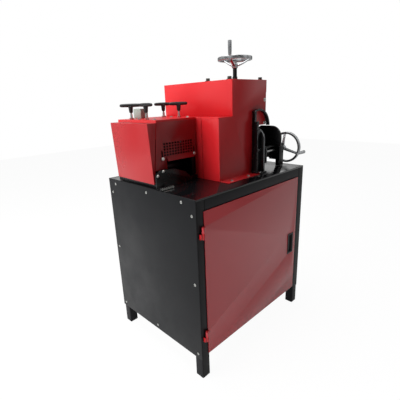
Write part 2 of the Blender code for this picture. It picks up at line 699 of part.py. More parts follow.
def rear_covers(root):
    """The lower housing with its ledge, and the hood that overhangs it."""
    top = LEDGE_Z - SHEET
    lap = UPPER_LEFT + 6 * SHEET
    outside, inside = COVER_FRONT - TUBE, COVER_BACK - SHEET
    lower = box("lower_housing", (LOWER_LEFT, COVER_INNER, DECK), (LOWER_RIGHT, COVER_BACK, LEDGE_Z))
    cut(lower, box("hollow", (LOWER_LEFT + SHEET, outside, 0), (LOWER_RIGHT - SHEET, inside, top)),
        box("hatch", (lap, outside, top - BITE), (LOWER_RIGHT - SHEET, inside, HOOD_TOP)),
        box("fold_room", (LOWER_LEFT - TUBE, outside, 0), (LOWER_LEFT + SHEET + FIT, COVER_SEAM, HOOD_TOP)),
        rod("shaft_hole", (0, SCREW_Y, LOWER_AXIS_Z), (2 * LOWER_RIGHT, SCREW_Y, LOWER_AXIS_Z),
            FEED_SHAFT + SHEET, sides=20))
    dress(lower, RED, root)

    seat = LEDGE_Z + FIT
    hood = plate("upper_hood", "y", COVER_INNER, COVER_BACK,
                 [(UPPER_LEFT, seat), (LOWER_RIGHT + FIT, seat), (LOWER_RIGHT + FIT, OVERHANG_Z),
                  (UPPER_RIGHT, OVERHANG_Z), (UPPER_RIGHT, HOOD_TOP), (UPPER_LEFT, HOOD_TOP)])
    cut(hood, box("hollow", (UPPER_LEFT + SHEET, COVER_FRONT - TUBE, 0),
                  (UPPER_RIGHT - SHEET, COVER_BACK - SHEET, HOOD_TOP - SHEET)))
    weld(hood, box("lip", (UPPER_RIGHT - BITE, COVER_INNER, HOOD_TOP - HOOD_LIP),
                   (UPPER_RIGHT + SHEET, COVER_BACK, HOOD_TOP)),
         *[head((x, y, HOOD_TOP), (0, 0, 1), HOOD_BOLT_RADIUS, HOOD_BOLT_HEIGHT) for x, y in hood_bolts()])
    cut(hood, rod("screw_hole", (SCREW_X, SCREW_Y, LEDGE_Z), (SCREW_X, SCREW_Y, TOP_RIM_Z),
                  PRESSURE_SCREW + RUNNING))
    dress(hood, RED, root)


def hood_bolts():
    """Where the hood's bolts stand on its top."""
    left, right = UPPER_LEFT + HOOD_BOLT_INSET, UPPER_RIGHT - HOOD_BOLT_INSET - BITE
    front, back = COVER_FRONT + HOOD_BOLT_END, COVER_BACK - HOOD_BOLT_END
    return [(left, front), (left, front + HOOD_BOLT_SPAN), (right, front), (right, back)]


def handwheel(name, place, bore):
    """A dished wheel with three spokes, its hub below its rim, about +Z before it is placed."""
    half, inner = RIM_HEIGHT / 2, WHEEL_RADIUS - RIM_WIDTH
    ease = RIM_WIDTH * 0.3
    section = [(inner + ease, half), (WHEEL_RADIUS - ease, half), (WHEEL_RADIUS, half - ease),
               (WHEEL_RADIUS, ease - half), (WHEEL_RADIUS - ease, -half), (inner + ease, -half),
               (inner, ease - half), (inner, half - ease), (inner + ease, half)]
    wheel = turned(name, section, Matrix(), 28)
    low = -WHEEL_DISH - HUB_HEIGHT / 2
    parts = [rod("hub", (0, 0, low), (0, 0, low + HUB_HEIGHT), HUB_RADIUS)]
    for i in range(3):
        angle = SIDE_CRANK_ANGLE + i * math.tau / 3
        parts.append(rod("spoke", (0, 0, -WHEEL_DISH), (CRANK_REACH * math.cos(angle),
                                                       CRANK_REACH * math.sin(angle), 0),
                         SPOKE_RADIUS * 1.2, SPOKE_RADIUS, 8))
    foot = (CRANK_REACH * math.cos(SIDE_CRANK_ANGLE), CRANK_REACH * math.sin(SIDE_CRANK_ANGLE))
    parts.append(rod("pin", (*foot, 0), (*foot, half + CRANK_LENGTH - 3 * SHEET), CRANK_PIN, sides=8))
    weld(wheel, *parts)
    cut(wheel, rod("bore", (0, 0, 2 * low), (0, 0, half), bore + FIT))
    wheel.data.transform(place)
    return wheel


def crank_handle(name, place):
    """The sleeve that spins on a handwheel's pin."""
    foot = Vector((CRANK_REACH * math.cos(SIDE_CRANK_ANGLE), CRANK_REACH * math.sin(SIDE_CRANK_ANGLE), 0))
    low = RIM_HEIGHT / 2 + FIT
    top = low + CRANK_LENGTH
    sleeve = turned(name, [(0, top), (CRANK_RADIUS * 0.7, top), (CRANK_RADIUS, top - SHEET),
                           (CRANK_RADIUS, low + 3 * SHEET), (CRANK_RADIUS * 0.75, low), (0, low)],
                    Matrix.Translation(foot), 16)
    cut(sleeve, rod("bore", foot, foot + Vector((0, 0, top - 2 * SHEET)), CRANK_PIN + FIT, sides=12))
    sleeve.data.transform(place)
    return sleeve


def roller_frame(root):
    """Two side plates, with the bridge that holds the pressure screw on the left one."""
    half = ROLLER_GAP_WIDTH / 2
    front, rear = SCREW_Y - ROLLER_PLATE_DEPTH / 2, SCREW_Y + ROLLER_PLATE_DEPTH / 2
    bridge_low = HOOD_TOP - SHEET - FIT - BRIDGE
    window_low = UPPER_AXIS_Z - YOKE_KEY - PRESS_DOWN - SHEET
    window = rectangle(SCREW_Y - WINDOW_HALF, SCREW_Y + WINDOW_HALF, window_low,
                       UPPER_AXIS_Z + YOKE_KEY + PRESS_UP + SHEET)
    for name, sign in (("roller_plate_left", -1), ("roller_plate_right", 1)):
        near, far = sorted((SCREW_X + sign * half, SCREW_X + sign * (half + ROLLER_PLATE)))
        side = plate(name, "x", near, far, rectangle(front, rear, DECK, bridge_low), window,
                     circle((SCREW_Y, LOWER_AXIS_Z), FEED_SHAFT + RUNNING))
        if sign < 0:
            weld(side, box("bridge", (near, SCREW_Y - half, bridge_low + FIT), (far + half, SCREW_Y + half,
                                                                             bridge_low + BRIDGE)),
                 box("bridge", (far + BITE, SCREW_Y - half, bridge_low + FIT),
                     (SCREW_X + half + ROLLER_PLATE, SCREW_Y + half, bridge_low + BRIDGE)),
                 box("heel", (near, SCREW_Y - half, bridge_low - BITE), (far, SCREW_Y + half,
                                                                        bridge_low + BITE)))
            cut(side, rod("hole", (SCREW_X, SCREW_Y, LEDGE_Z), (SCREW_X, SCREW_Y, TOP_RIM_Z),
                          PRESSURE_SCREW + RUNNING))
        dress(side, BLACK, root)


def large_rollers(root):
    """The driven feed roller, and the blade roller in the yoke that the screw presses down."""
    half = ROLLER_GAP_WIDTH / 2
    feed = empty("feed_axis", (SCREW_X, SCREW_Y, LOWER_AXIS_Z), root)

    def across(name, low, high, z, radius, sides=16):
        return rod(name, (low, SCREW_Y, z), (high, SCREW_Y, z), radius, sides=sides)

    reach = half - 2 * RUNNING
    lower = across("feed_roller", SCREW_X - reach, SCREW_X + reach, LOWER_AXIS_Z, FEED_RADIUS, 28)
    weld(lower, across("shaft", LARGE_CHAIN_X - SPROCKET_WIDTH, SCREW_X + half + ROLLER_PLATE + SHEET,
                       LOWER_AXIS_Z, FEED_SHAFT),
         across("sprocket", LARGE_CHAIN_X - SPROCKET_WIDTH / 2, LARGE_CHAIN_X + SPROCKET_WIDTH / 2,
                LOWER_AXIS_Z, SPROCKET_RADIUS))
    dress(lower, STEEL, feed, smooth=True)

    slide = empty("yoke_slide", (SCREW_X, SCREW_Y, UPPER_AXIS_Z), root)
    outer, deep = half - FIT, WINDOW_HALF - FIT
    yoke = box("pressure_yoke", (SCREW_X - outer, SCREW_Y - deep, YOKE_BAR_Z),
               (SCREW_X + outer, SCREW_Y + deep, YOKE_BAR_Z + YOKE_BAR))
    arms = []
    for sign in (-1, 1):
        near, far = sorted((SCREW_X + sign * outer, SCREW_X + sign * (outer - YOKE_ARM)))
        arms.append(box("arm", (near, SCREW_Y - deep, UPPER_AXIS_Z - YOKE_KEY),
                        (far, SCREW_Y + deep, YOKE_BAR_Z + BITE)))
        near, far = sorted((SCREW_X + sign * (outer - BITE), SCREW_X + sign * (half + ROLLER_PLATE)))
        arms.append(box("key", (near, SCREW_Y - deep, UPPER_AXIS_Z - YOKE_KEY),
                        (far, SCREW_Y + deep, UPPER_AXIS_Z + YOKE_KEY)))
    weld(yoke, *arms)
    bar_reach = half + ROLLER_PLATE
    cut(yoke, across("bore", SCREW_X - 2 * bar_reach, SCREW_X + 2 * bar_reach, UPPER_AXIS_Z,
                     FEED_SHAFT + RUNNING))
    dress(yoke, STEEL, slide)
    spin = empty("blade_roller_axis", (SCREW_X, SCREW_Y, UPPER_AXIS_Z), slide)
    reach = outer - YOKE_ARM - RUNNING
    upper = across("blade_roller", SCREW_X - reach, SCREW_X + reach, UPPER_AXIS_Z, FEED_RADIUS * 0.9, 24)
    weld(upper, across("shaft", SCREW_X - bar_reach, SCREW_X + bar_reach, UPPER_AXIS_Z, FEED_SHAFT),
         across("blade", SCREW_X - BLADE / 2, SCREW_X + BLADE / 2, UPPER_AXIS_Z, FEED_RADIUS, 28))
    dress(upper, STEEL, spin, smooth=True)
    return slide


def pressure_screw(root, slide):
    """The screw on top, its bush, its handwheel and the crank handle."""
    turn = empty("pressure_screw_axis", (SCREW_X, SCREW_Y, TOP_RIM_Z), slide)
    screw = rod("pressure_screw", (SCREW_X, SCREW_Y, YOKE_BAR_Z + YOKE_BAR + FIT),
                (SCREW_X, SCREW_Y, TOP_RIM_Z - WHEEL_DISH + HUB_HEIGHT / 2 + SHEET), PRESSURE_SCREW)
    dress(screw, BLACK, turn, smooth=True)
    spot = Matrix.Translation((SCREW_X, SCREW_Y, TOP_RIM_Z))
    place = spot @ Matrix.Rotation(TOP_CRANK_ANGLE - SIDE_CRANK_ANGLE, 4, "Z")
    dress(handwheel("top_handwheel", place, PRESSURE_SCREW), CHROME, turn, smooth=True)
    crank = empty("top_crank_axis", (SCREW_X + CRANK_REACH * math.cos(TOP_CRANK_ANGLE),
                                     SCREW_Y + CRANK_REACH * math.sin(TOP_CRANK_ANGLE), TOP_RIM_Z), turn)
    dress(crank_handle("top_crank_handle", place), CHROME, crank, smooth=True)
    collar, waist = BUSH_HEIGHT * 0.4, BUSH_RADIUS * 0.8
    bush = turned("screw_bush", [(0, BUSH_HEIGHT), (waist, BUSH_HEIGHT), (waist, collar),
                                 (BUSH_RADIUS, collar), (BUSH_RADIUS, 0), (0, 0)],
                  Matrix.Translation((SCREW_X, SCREW_Y, HOOD_TOP + FIT)), 24)
    cut(bush, rod("bore", (SCREW_X, SCREW_Y, LEDGE_Z), (SCREW_X, SCREW_Y, TOP_RIM_Z), PRESSURE_SCREW + FIT))
    dress(bush, BLACK, root, smooth=True)


def cheek(name, x, y, bottom, back):
    """A cheek plate whose front corner is round and whose top runs back level."""
    corner = (y + back - CHEEK_CORNER, CHEEK_Z + CHEEK_RADIUS - CHEEK_CORNER)
    outline = [(y - CHEEK_RADIUS, bottom), (y + back, bottom)]
    outline += arc(corner, CHEEK_CORNER, 0, math.pi / 2, 5)
    outline += arc((y, CHEEK_Z), CHEEK_RADIUS, math.pi / 2, math.pi, 12)
    return plate(name, "x", x, x + CHEEK, outline)


def guide_post(root):
    """The post with its entry hoop, and the cheek fixed to it."""
    hoop_x, hoop_z = POST_LEFT + HOOP_OFFSET, CABINET_HEIGHT + HOOP_HEIGHT
    post_right, post_top = POST_LEFT + POST_WIDTH, CABINET_HEIGHT + POST_HEIGHT
    post = box("guide_post", (POST_LEFT, POST_FRONT, DECK), (post_right, POST_BACK, post_top))
    flange_end = LOWER_RIGHT - FLANGE_CUT + FLANGE_MITRE
    foot_left, foot_front = max(POST_LEFT - SHEET, flange_end + RUNNING), POST_FRONT - FOOT_FRONT
    foot = box("foot", (foot_left, foot_front, DECK),
               (post_right + FOOT_MARGIN, POST_BACK, DECK + POST_FOOT))
    shelf = box("shelf", (POST_LEFT, POST_FRONT - SHELF, TABLE_TOP - TABLE_PLATE),
                (post_right, POST_BACK, TABLE_TOP))
    start = math.acos(-HOOP_OFFSET / HOOP_RADIUS)
    hoop_front = POST_BACK - HOOP_DEPTH
    hoop = plate("hoop", "y", hoop_front, POST_BACK,
                 arc((hoop_x, hoop_z), HOOP_RADIUS, HOOP_END, start, 22)
                 + arc((hoop_x, hoop_z), HOOP_RADIUS - HOOP_BAR, start + math.radians(1), HOOP_END, 22))
    neck_right, neck_top = POST_LEFT + NECK_WIDTH, CABINET_HEIGHT + POST_NECK_HEIGHT
    neck = box("neck", (POST_LEFT, POST_FRONT, post_top - BITE), (neck_right, POST_BACK, neck_top))
    hoop_foot = hoop_z + math.sqrt(HOOP_RADIUS ** 2 - HOOP_OFFSET ** 2) - SHEET
    stem = box("stem", (POST_LEFT, hoop_front, neck_top - BITE), (neck_right, POST_BACK, hoop_foot))
    bolt = head((POST_LEFT + FOOT_MARGIN * 0.3, (foot_front + POST_FRONT) / 2, DECK + POST_FOOT), (0, 0, 1),
                0.006, 0.005)
    dress(weld(post, foot, shelf, neck, stem, hoop, bolt), BLACK, root)
    fixed = cheek("fixed_cheek", FIXED_CHEEK_X, FIXED_CHEEK_Y, DECK + POST_FOOT + FIT, CHEEK_RADIUS)
    dress(fixed, BLACK, root)


def guide_table(root):
    """The slotted table that the other cheek slides on."""
    under = TABLE_TOP - TABLE_PLATE
    back = TABLE_FRONT + TABLE_DEPTH
    left, right, low = TABLE_LEFT + TABLE_PLATE, TABLE_RIGHT - TABLE_PLATE, DECK + TABLE_OPENING
    table = plate("guide_table", "y", TABLE_FRONT, back,
                  [(TABLE_LEFT, low), (left, low), (left, under), (right, under), (right, low),
                   (TABLE_RIGHT, low), (TABLE_RIGHT, TABLE_TOP), (TABLE_LEFT, TABLE_TOP)])
    weld(table,
         box("apron", (FIXED_CHEEK_X + CHEEK + FIT, TABLE_FRONT, under),
             (TABLE_LEFT + BITE, TABLE_FRONT + TABLE_DEPTH * 0.75, TABLE_TOP)),
         box("leg", (TABLE_RIGHT - TABLE_LEG, TABLE_FRONT, DECK),
             (TABLE_RIGHT, TABLE_FRONT + TABLE_PLATE, under + BITE)),
         box("foot", (TABLE_RIGHT - TABLE_FOOT, TABLE_FRONT, DECK),
             (TABLE_RIGHT, TABLE_FRONT + TABLE_FOOT_DEPTH, low + BITE)),
         *[head((TABLE_RIGHT, TABLE_FRONT + y, CABINET_HEIGHT + TABLE_HEIGHT / 2), (1, 0, 0), 0.0055, 0.004)
           for y in (TABLE_DEPTH * 0.25, TABLE_DEPTH * 0.75)])
    half = NECK / 2 + RUNNING
    cut(table, box("slot", (left + SHEET, GUIDE_Y - half, under - TUBE),
                   (right - SHEET, GUIDE_Y + half, TABLE_TOP + TUBE)),
        rod("bearing", (TABLE_LEFT - TUBE, GUIDE_Y, GUIDE_Z), (TABLE_RIGHT + TUBE, GUIDE_Y, GUIDE_Z),
            GUIDE_SCREW + FIT))
    dress(table, BLACK, root)


def sliding_cheek(root):
    """The cheek, its runner on the table and its nut block below."""
    slide = empty("guide_slide", (SLIDING_CHEEK_X, GUIDE_Y, TABLE_TOP), root)
    seat, under = TABLE_TOP + FIT, TABLE_TOP - TABLE_PLATE
    nut_left = SLIDING_CHEEK_X + NUT_OFFSET
    nut_right = nut_left + NUT_WIDTH
    piece = cheek("sliding_cheek", SLIDING_CHEEK_X, SLIDING_CHEEK_Y, seat, CHEEK_SHOULDER)
    runner = box("runner", (SLIDING_CHEEK_X + BITE, GUIDE_Y - NECK, seat), (nut_right, GUIDE_Y + NECK,
                                                                          seat + TABLE_PLATE))
    block_back = GUIDE_Y + NUT_DEPTH * 0.4
    block = box("block", (nut_left, block_back - NUT_DEPTH, under - NUT_HEIGHT),
                (nut_right, block_back, under - RUNNING))
    neck = box("neck", (nut_left + SHEET, GUIDE_Y - NECK / 2, under - 2 * BITE),
               (nut_right - SHEET, GUIDE_Y + NECK / 2, seat + BITE))
    weld(piece, runner, neck, block)
    cut(piece, rod("thread", (0, GUIDE_Y, GUIDE_Z), (SIDE_RIM_X, GUIDE_Y, GUIDE_Z), GUIDE_SCREW + FIT))
    dress(piece, BLACK, slide)


def guide_screw(root):
    """The screw through the table's walls and the nut block, with its handwheel."""
    turn = empty("guide_screw_axis", (SIDE_RIM_X, GUIDE_Y, GUIDE_Z), root)
    hub_end = SIDE_RIM_X - WHEEL_DISH + HUB_HEIGHT / 2
    screw = rod("guide_screw", (TABLE_LEFT + SHEET, GUIDE_Y, GUIDE_Z), (hub_end + SHEET, GUIDE_Y, GUIDE_Z),
                GUIDE_SCREW)
    weld(screw, rod("collar", (TABLE_RIGHT + FIT, GUIDE_Y, GUIDE_Z), (hub_end - HUB_HEIGHT - FIT, GUIDE_Y,
                                                                     GUIDE_Z), GUIDE_SCREW * 1.6))
    dress(screw, STEEL, turn, smooth=True)
    place = Matrix.Translation((SIDE_RIM_X, GUIDE_Y, GUIDE_Z)) @ ACROSS["x"]
    dress(handwheel("side_handwheel", place, GUIDE_SCREW), CHROME, turn, smooth=True)
    crank = empty("side_crank_axis", (SIDE_RIM_X, GUIDE_Y + CRANK_REACH * math.cos(SIDE_CRANK_ANGLE),
                                      GUIDE_Z + CRANK_REACH * math.sin(SIDE_CRANK_ANGLE)), turn)
    dress(crank_handle("side_crank_handle", place), CHROME, crank, smooth=True)


def small_wall_x(z):
    """Where the leaning left wall of the small housing stands at height z."""
    return SMALL_LEFT - SMALL_LEAN * (SMALL_TOP - z) / (SMALL_TOP - SMALL_SEAT)


def small_base(root):
    """The base plate with the sloped infeed body and the low guide bar in front of it."""
    front = SMALL_FRONT - NOSE_GAP
    left = SMALL_LEFT - SMALL_LEAN
    base = box("small_unit_base", (left, SMALL_FRONT, DECK), (SMALL_RIGHT - FIT, SMALL_BACK, BASE_TOP))
    nose_left, nose_top = left - NOSE_LAP, CABINET_HEIGHT + NOSE_HEIGHT
    nose_right = nose_left + NOSE_LENGTH
    nose_front = front - NOSE_DEPTH
    nose = plate("nose", "y", nose_front, front,
                 [(nose_left, DECK), (nose_right, DECK)]
                 + [(nose_left + NOSE_LENGTH * across, CABINET_HEIGHT + NOSE_HEIGHT * up)
                    for across, up in NOSE_SLOPE])
    sill = box("sill", (left, front - BITE, DECK), (nose_right - 12 * SHEET, SMALL_FRONT + BITE, BASE_TOP))
    bar_left, bar_front = BAR_INSET - CABINET_WIDTH / 2, nose_front - BAR_LEAD
    bar = box("guide_bar", (bar_left, bar_front, DECK),
              (bar_left + BAR_LENGTH, bar_front + BAR_DEPTH, DECK + BAR_HEIGHT))
    foot = box("foot", (bar_left + SHEET, bar_front + BITE, DECK),
               (bar_left + BAR_LENGTH - SHEET, nose_front + BITE, DECK + SHEET))
    bolts = [head((nose_left + across, nose_front, nose_top - drop), (0, -1, 0), size, 0.004)
             for across, drop, size in ((0.0083, 0.0205, 0.0065), (0.0362, 0.0068, 0.0045))]
    bushes = [head((bar_left + BUSH_INSET + BUSH_PITCH * i, bar_front, DECK + BAR_HEIGHT / 2), (0, -1, 0),
                   0.0042, 0.002, 10) for i in range(6)]
    weld(base, nose, sill, bar, foot, *bolts, *bushes)
    cut(base, *chain_slots(DECK - TUBE, BASE_TOP + TUBE))
    dress(base, BLACK, root)


def bearing_plates(root):
    """The two plates that hold the four roller shafts, with the guard's bolts in their front edges."""
    window_top = BLOCK_TOP + BLOCK_TRAVEL + 3 * SHEET
    for name, x in PLATE_XS.items():
        holes = []
        for y in SHAFT_YS.values():
            holes.append(rectangle(y - BLOCK_HALF - FIT, y + BLOCK_HALF + FIT,
                                   BLOCK_BOTTOM - 2 * BLOCK_TRAVEL, window_top))
            holes.append(circle((y, SMALL_LOWER_Z), SMALL_SHAFT + RUNNING, 14))
        plate_front = SMALL_FRONT + SHEET + RUNNING
        outside = rectangle(plate_front, SMALL_BACK - 3 * SHEET, SMALL_SEAT, SMALL_TOP - SHEET - FIT)
        side = plate(f"bearing_plate_{name}", "x", x - BEARING_PLATE / 2, x + BEARING_PLATE / 2,
                     outside, *holes)
        guard_face = SMALL_FRONT - FIT - SHEET
        weld(side, rod("shank", (x, guard_face - FIT - BITE, GUARD_BOLT_Z),
                       (x, plate_front + BITE, GUARD_BOLT_Z), GUARD_BOLT, sides=12),
             rod("head", (x, guard_face - FIT, GUARD_BOLT_Z), (x, guard_face - 3 * SHEET, GUARD_BOLT_Z),
                 GUARD_BOLT * 2.3, GUARD_BOLT * 1.8, 12))
        cut(side, *[rod("stud_hole", (x, y, window_top - BITE), (x, y, SMALL_TOP + TUBE), STUD + RUNNING,
                        sides=10) for y in SHAFT_YS.values()])
        dress(side, STEEL, root)


def small_housing(root):
    """The housing over the bearing plates, open below, behind the guard and where the wire leaves."""
    housing = plate("small_housing", "y", SMALL_FRONT, SMALL_BACK,
                    [(small_wall_x(SMALL_SEAT), SMALL_SEAT), (SMALL_RIGHT, SMALL_SEAT),
                     (SMALL_RIGHT, SMALL_TOP), (SMALL_LEFT, SMALL_TOP)])
    under, ceiling = SMALL_SEAT - TUBE, SMALL_TOP - SHEET
    inside = plate("inside", "y", SMALL_FRONT + SHEET, SMALL_BACK - SHEET,
                   [(small_wall_x(under) + SHEET, under), (SMALL_RIGHT - SHEET, under),
                    (SMALL_RIGHT - SHEET, ceiling), (small_wall_x(ceiling) + SHEET, ceiling)])
    window = box("window", (SMALL_LEFT - 2 * SMALL_LEAN, SMALL_FRONT - TUBE, under),
                 (SMALL_RIGHT + TUBE, SMALL_FRONT + 2 * SHEET, SMALL_TOP - SMALL_HEIGHT * 0.27))
    exit_slot = box("exit_slot", (PLATE_XS["left"] + BEARING_PLATE, SMALL_BACK - TUBE, SMALL_LOWER_Z),
                    (PLATE_XS["right"] - BEARING_PLATE, SMALL_BACK + TUBE, SMALL_UPPER_Z))
    cut(housing, inside, window, exit_slot)
    nuts, studs = [], []
    for x in PLATE_XS.values():
        for y in SHAFT_YS.values():
            nuts.append(head((x, y, SMALL_TOP), (0, 0, 1), STUD * 1.8, 0.006))
            studs.append(rod("stud_hole", (x, y, ceiling - TUBE), (x, y, SMALL_TOP + TUBE), STUD + RUNNING,
                             sides=10))
        for y in (SHAFT_YS["front"] - SHAFT_SPACING / 2, SHAFT_YS["front"] + SHAFT_SPACING / 2):
            nuts.append(head((x, y, SMALL_TOP), (0, 0, 1), 0.006, 0.005))
    weld(housing, *nuts)
    cut(housing, *studs)
    dress(housing, RED, root)


def side_cover(root):
    """The wedge-shaped cover on the leaning wall."""
    back, top = SMALL_FRONT + COVER_LENGTH, SMALL_TOP - COVER_DROP
    wall_foot, wall_top = small_wall_x(SMALL_SEAT) - RUNNING, small_wall_x(top) - RUNNING
    foot_x, top_x = wall_foot - COVER_FOOT, wall_top - COVER_BULGE + RUNNING
    cover = plate("side_cover", "y", SMALL_FRONT, back, [(foot_x, SMALL_SEAT), (wall_foot, SMALL_SEAT),
                                                         (wall_top, top), (top_x, top)])
    lean = (foot_x - top_x) / (top - SMALL_SEAT)
    under = SMALL_SEAT - TUBE
    cut(cover, plate("hollow", "y", SMALL_FRONT + SHEET, back - SHEET,
                     [(foot_x + lean * TUBE + SHEET, under), (SMALL_RIGHT, under),
                      (SMALL_RIGHT, top - SHEET), (top_x + lean * SHEET + SHEET, top - SHEET)]))
    dress(cover, RED, root)


def front_guard(root):
    """The sliding front guard, with its grille of square holes and its flared lower edge."""
    slide = empty("guard_slide", (SMALL_LEFT + GRILLE_OFFSET, SMALL_FRONT, GUARD_BOLT_Z), root)
    back = SMALL_FRONT - FIT
    front = back - SHEET
    bend, edge = CABINET_HEIGHT + GUARD_BEND_HEIGHT, CABINET_HEIGHT + GUARD_EDGE_HEIGHT
    tab, top = CABINET_HEIGHT + GUARD_TAB_HEIGHT, SMALL_TOP - GUARD_DROP
    left, right = small_wall_x(tab), SMALL_RIGHT - GUARD_SIDE
    left_tab, right_tab = left + GUARD_TAB_WIDTH, right - GUARD_RIGHT_TAB
    outline = [(left, tab), (left_tab, tab), (left_tab, bend), (right_tab, bend), (right_tab, edge),
               (right, edge), (right, top), (SMALL_LEFT, top)]
    play = GUARD_BOLT + RUNNING
    slots = [arc((x, GUARD_BOLT_Z), play, math.pi, math.tau, 6)
             + arc((x, GUARD_BOLT_Z + GUARD_TRAVEL + SHEET), play, 0, math.pi, 6) for x in PLATE_XS.values()]
    sheet = plate("slotted_guard", "y", front, back, outline, *slots)
    flare = plate("flare", "x", left_tab + FIT, right_tab - BITE,
                  [(front + FIT, bend + BITE), (back - FIT, bend + BITE), (back - GUARD_FLARE, edge),
                   (front - GUARD_FLARE, edge)])
    weld(sheet, flare)
    middle_x, middle_z = SMALL_LEFT + GRILLE_OFFSET, CABINET_HEIGHT + GRILLE_HEIGHT
    holes = []
    for column in range(GRILLE_COLUMNS):
        for row in range(GRILLE_ROWS):
            x = middle_x + (column - (GRILLE_COLUMNS - 1) / 2) * GRILLE_PITCH_X
            z = middle_z + (row - (GRILLE_ROWS - 1) / 2) * GRILLE_PITCH_Z
            holes.append(box("grille_hole", (x - GRILLE_HOLE_X / 2, front - SHEET, z - GRILLE_HOLE_Z / 2),
                             (x + GRILLE_HOLE_X / 2, back + SHEET, z + GRILLE_HOLE_Z / 2)))
    cut(sheet, *holes)
    dress(sheet, RED, slide)


def small_rollers(root):
    """Two pairs of rollers, the lower ones driven, the upper ones in pressed carriages."""
    left, right = PLATE_XS["left"], PLATE_XS["right"]
    half = BEARING_PLATE / 2
    start, end = SMALL_CHAIN_X + SPROCKET_WIDTH / 2 + SHEET, right - half - SHEET
    shaft_left, shaft_right = left - half - GEAR_WIDTH - 3 * SHEET, right + half + SHEET
    gear_left = shaft_left + BITE
    for where, y in SHAFT_YS.items():
        carriage = pressed_carriage(where, y, root)
        for level, z, parent in (("lower", SMALL_LOWER_Z, root), ("upper", SMALL_UPPER_Z, carriage)):
            spin = empty(f"{level}_{where}_axis", (left, y, z), parent)
            roller = rod(f"{level}_{where}_roller", (start, y, z), (end, y, z), SMALL_ROLLER, sides=20)
            parts = [rod("shaft", (shaft_left, y, z), (shaft_right, y, z), SMALL_SHAFT, sides=12),
                     rod("gear", (gear_left, y, z), (gear_left + GEAR_WIDTH, y, z), SMALL_GEAR, sides=16)]
            if (level, where) == ("lower", "rear"):
                parts.append(rod("sprocket", (SMALL_CHAIN_X - SPROCKET_WIDTH / 2, y, z),
                                 (SMALL_CHAIN_X + SPROCKET_WIDTH / 2, y, z), SPROCKET_RADIUS, sides=16))
            dress(weld(roller, *parts), STEEL, spin, smooth=True)
        for side, x in PLATE_XS.items():
            axis = empty(f"t_{where}_{side}_axis", (x, y, T_BAR_Z), carriage)
            dress(t_handle(f"{where}_{side}", x, y), PLASTIC, axis, smooth=True)


def pressed_carriage(where, y, root):
    """The two bearing blocks of an upper roller and the tie between them; returns its slide."""
    left, right, half = PLATE_XS["left"], PLATE_XS["right"], BEARING_PLATE / 2
    slide = empty(f"{where}_carriage_slide", (left, y, SMALL_UPPER_Z), root)
    block = rectangle(y - BLOCK_HALF, y + BLOCK_HALF, BLOCK_BOTTOM, BLOCK_TOP)
    hole = circle((y, SMALL_UPPER_Z), SMALL_SHAFT + RUNNING, 14)
    carriage = plate(f"{where}_roller_carriage", "x", left - half, left + half, block, hole)
    weld(carriage, plate("block", "x", right - half, right + half, block, hole),
         box("tie", (left, y - TIE, BLOCK_TOP - TIE), (right, y + TIE, BLOCK_TOP - RUNNING)))
    dress(carriage, STEEL, slide)
    return slide


def t_handle(where, x, y):
    """A steel stud with a moulded T grip, which presses a bearing block down."""
    angle = math.radians(T_ANGLES[where])
    along = Vector((math.cos(angle), math.sin(angle), 0)) * T_BAR_LENGTH / 2
    middle = Vector((x, y, T_BAR_Z))
    grip = rod(f"t_handle_{where}", (x, y, T_STEM_Z), middle, T_STEM_BOTTOM, T_STEM_TOP, 12)
    halves = [rod("bar", middle - along * 0.02 * sign, middle + along * sign, T_BAR_RADIUS,
                  T_BAR_RADIUS * 0.8, 10) for sign in (-1, 1)]
    stud = rod("stud", (x, y, BLOCK_TOP + FIT), (x, y, T_STEM_Z + BITE), STUD, sides=10)
    return weld(grip, *halves, stud)


def switch_box(root):
    """A grey box on the small housing, with a start and a stop button on its rear face."""
    left = SMALL_LEFT + SWITCH_OFFSET
    back, seat = SMALL_BACK - SWITCH_MARGIN, SMALL_TOP + FIT
    x = left + SWITCH_WIDTH / 2
    body = box("switch_box", (left, back - SWITCH_DEPTH, seat),
               (left + SWITCH_WIDTH, back, seat + SWITCH_HEIGHT))
    spots = {"start_button": seat + SWITCH_HEIGHT * 0.75, "stop_button": seat + SWITCH_HEIGHT * 0.25}
    cut(body, *[rod("well", (x, back - BUTTON_WELL, z), (x, back + TUBE, z), BUTTON_RADIUS + RUNNING)
                for z in spots.values()])
    dress(body, GREY, root)
    for name, z in spots.items():
        slide = empty(f"{name}_slide", (x, back, z), root)
        button = rod(name, (x, back - BUTTON_WELL + BUTTON_PROUD + FIT, z), (x, back + BUTTON_PROUD, z),
                     BUTTON_RADIUS)
        dress(button, GREEN if name == "start_button" else RED, slide, smooth=True)


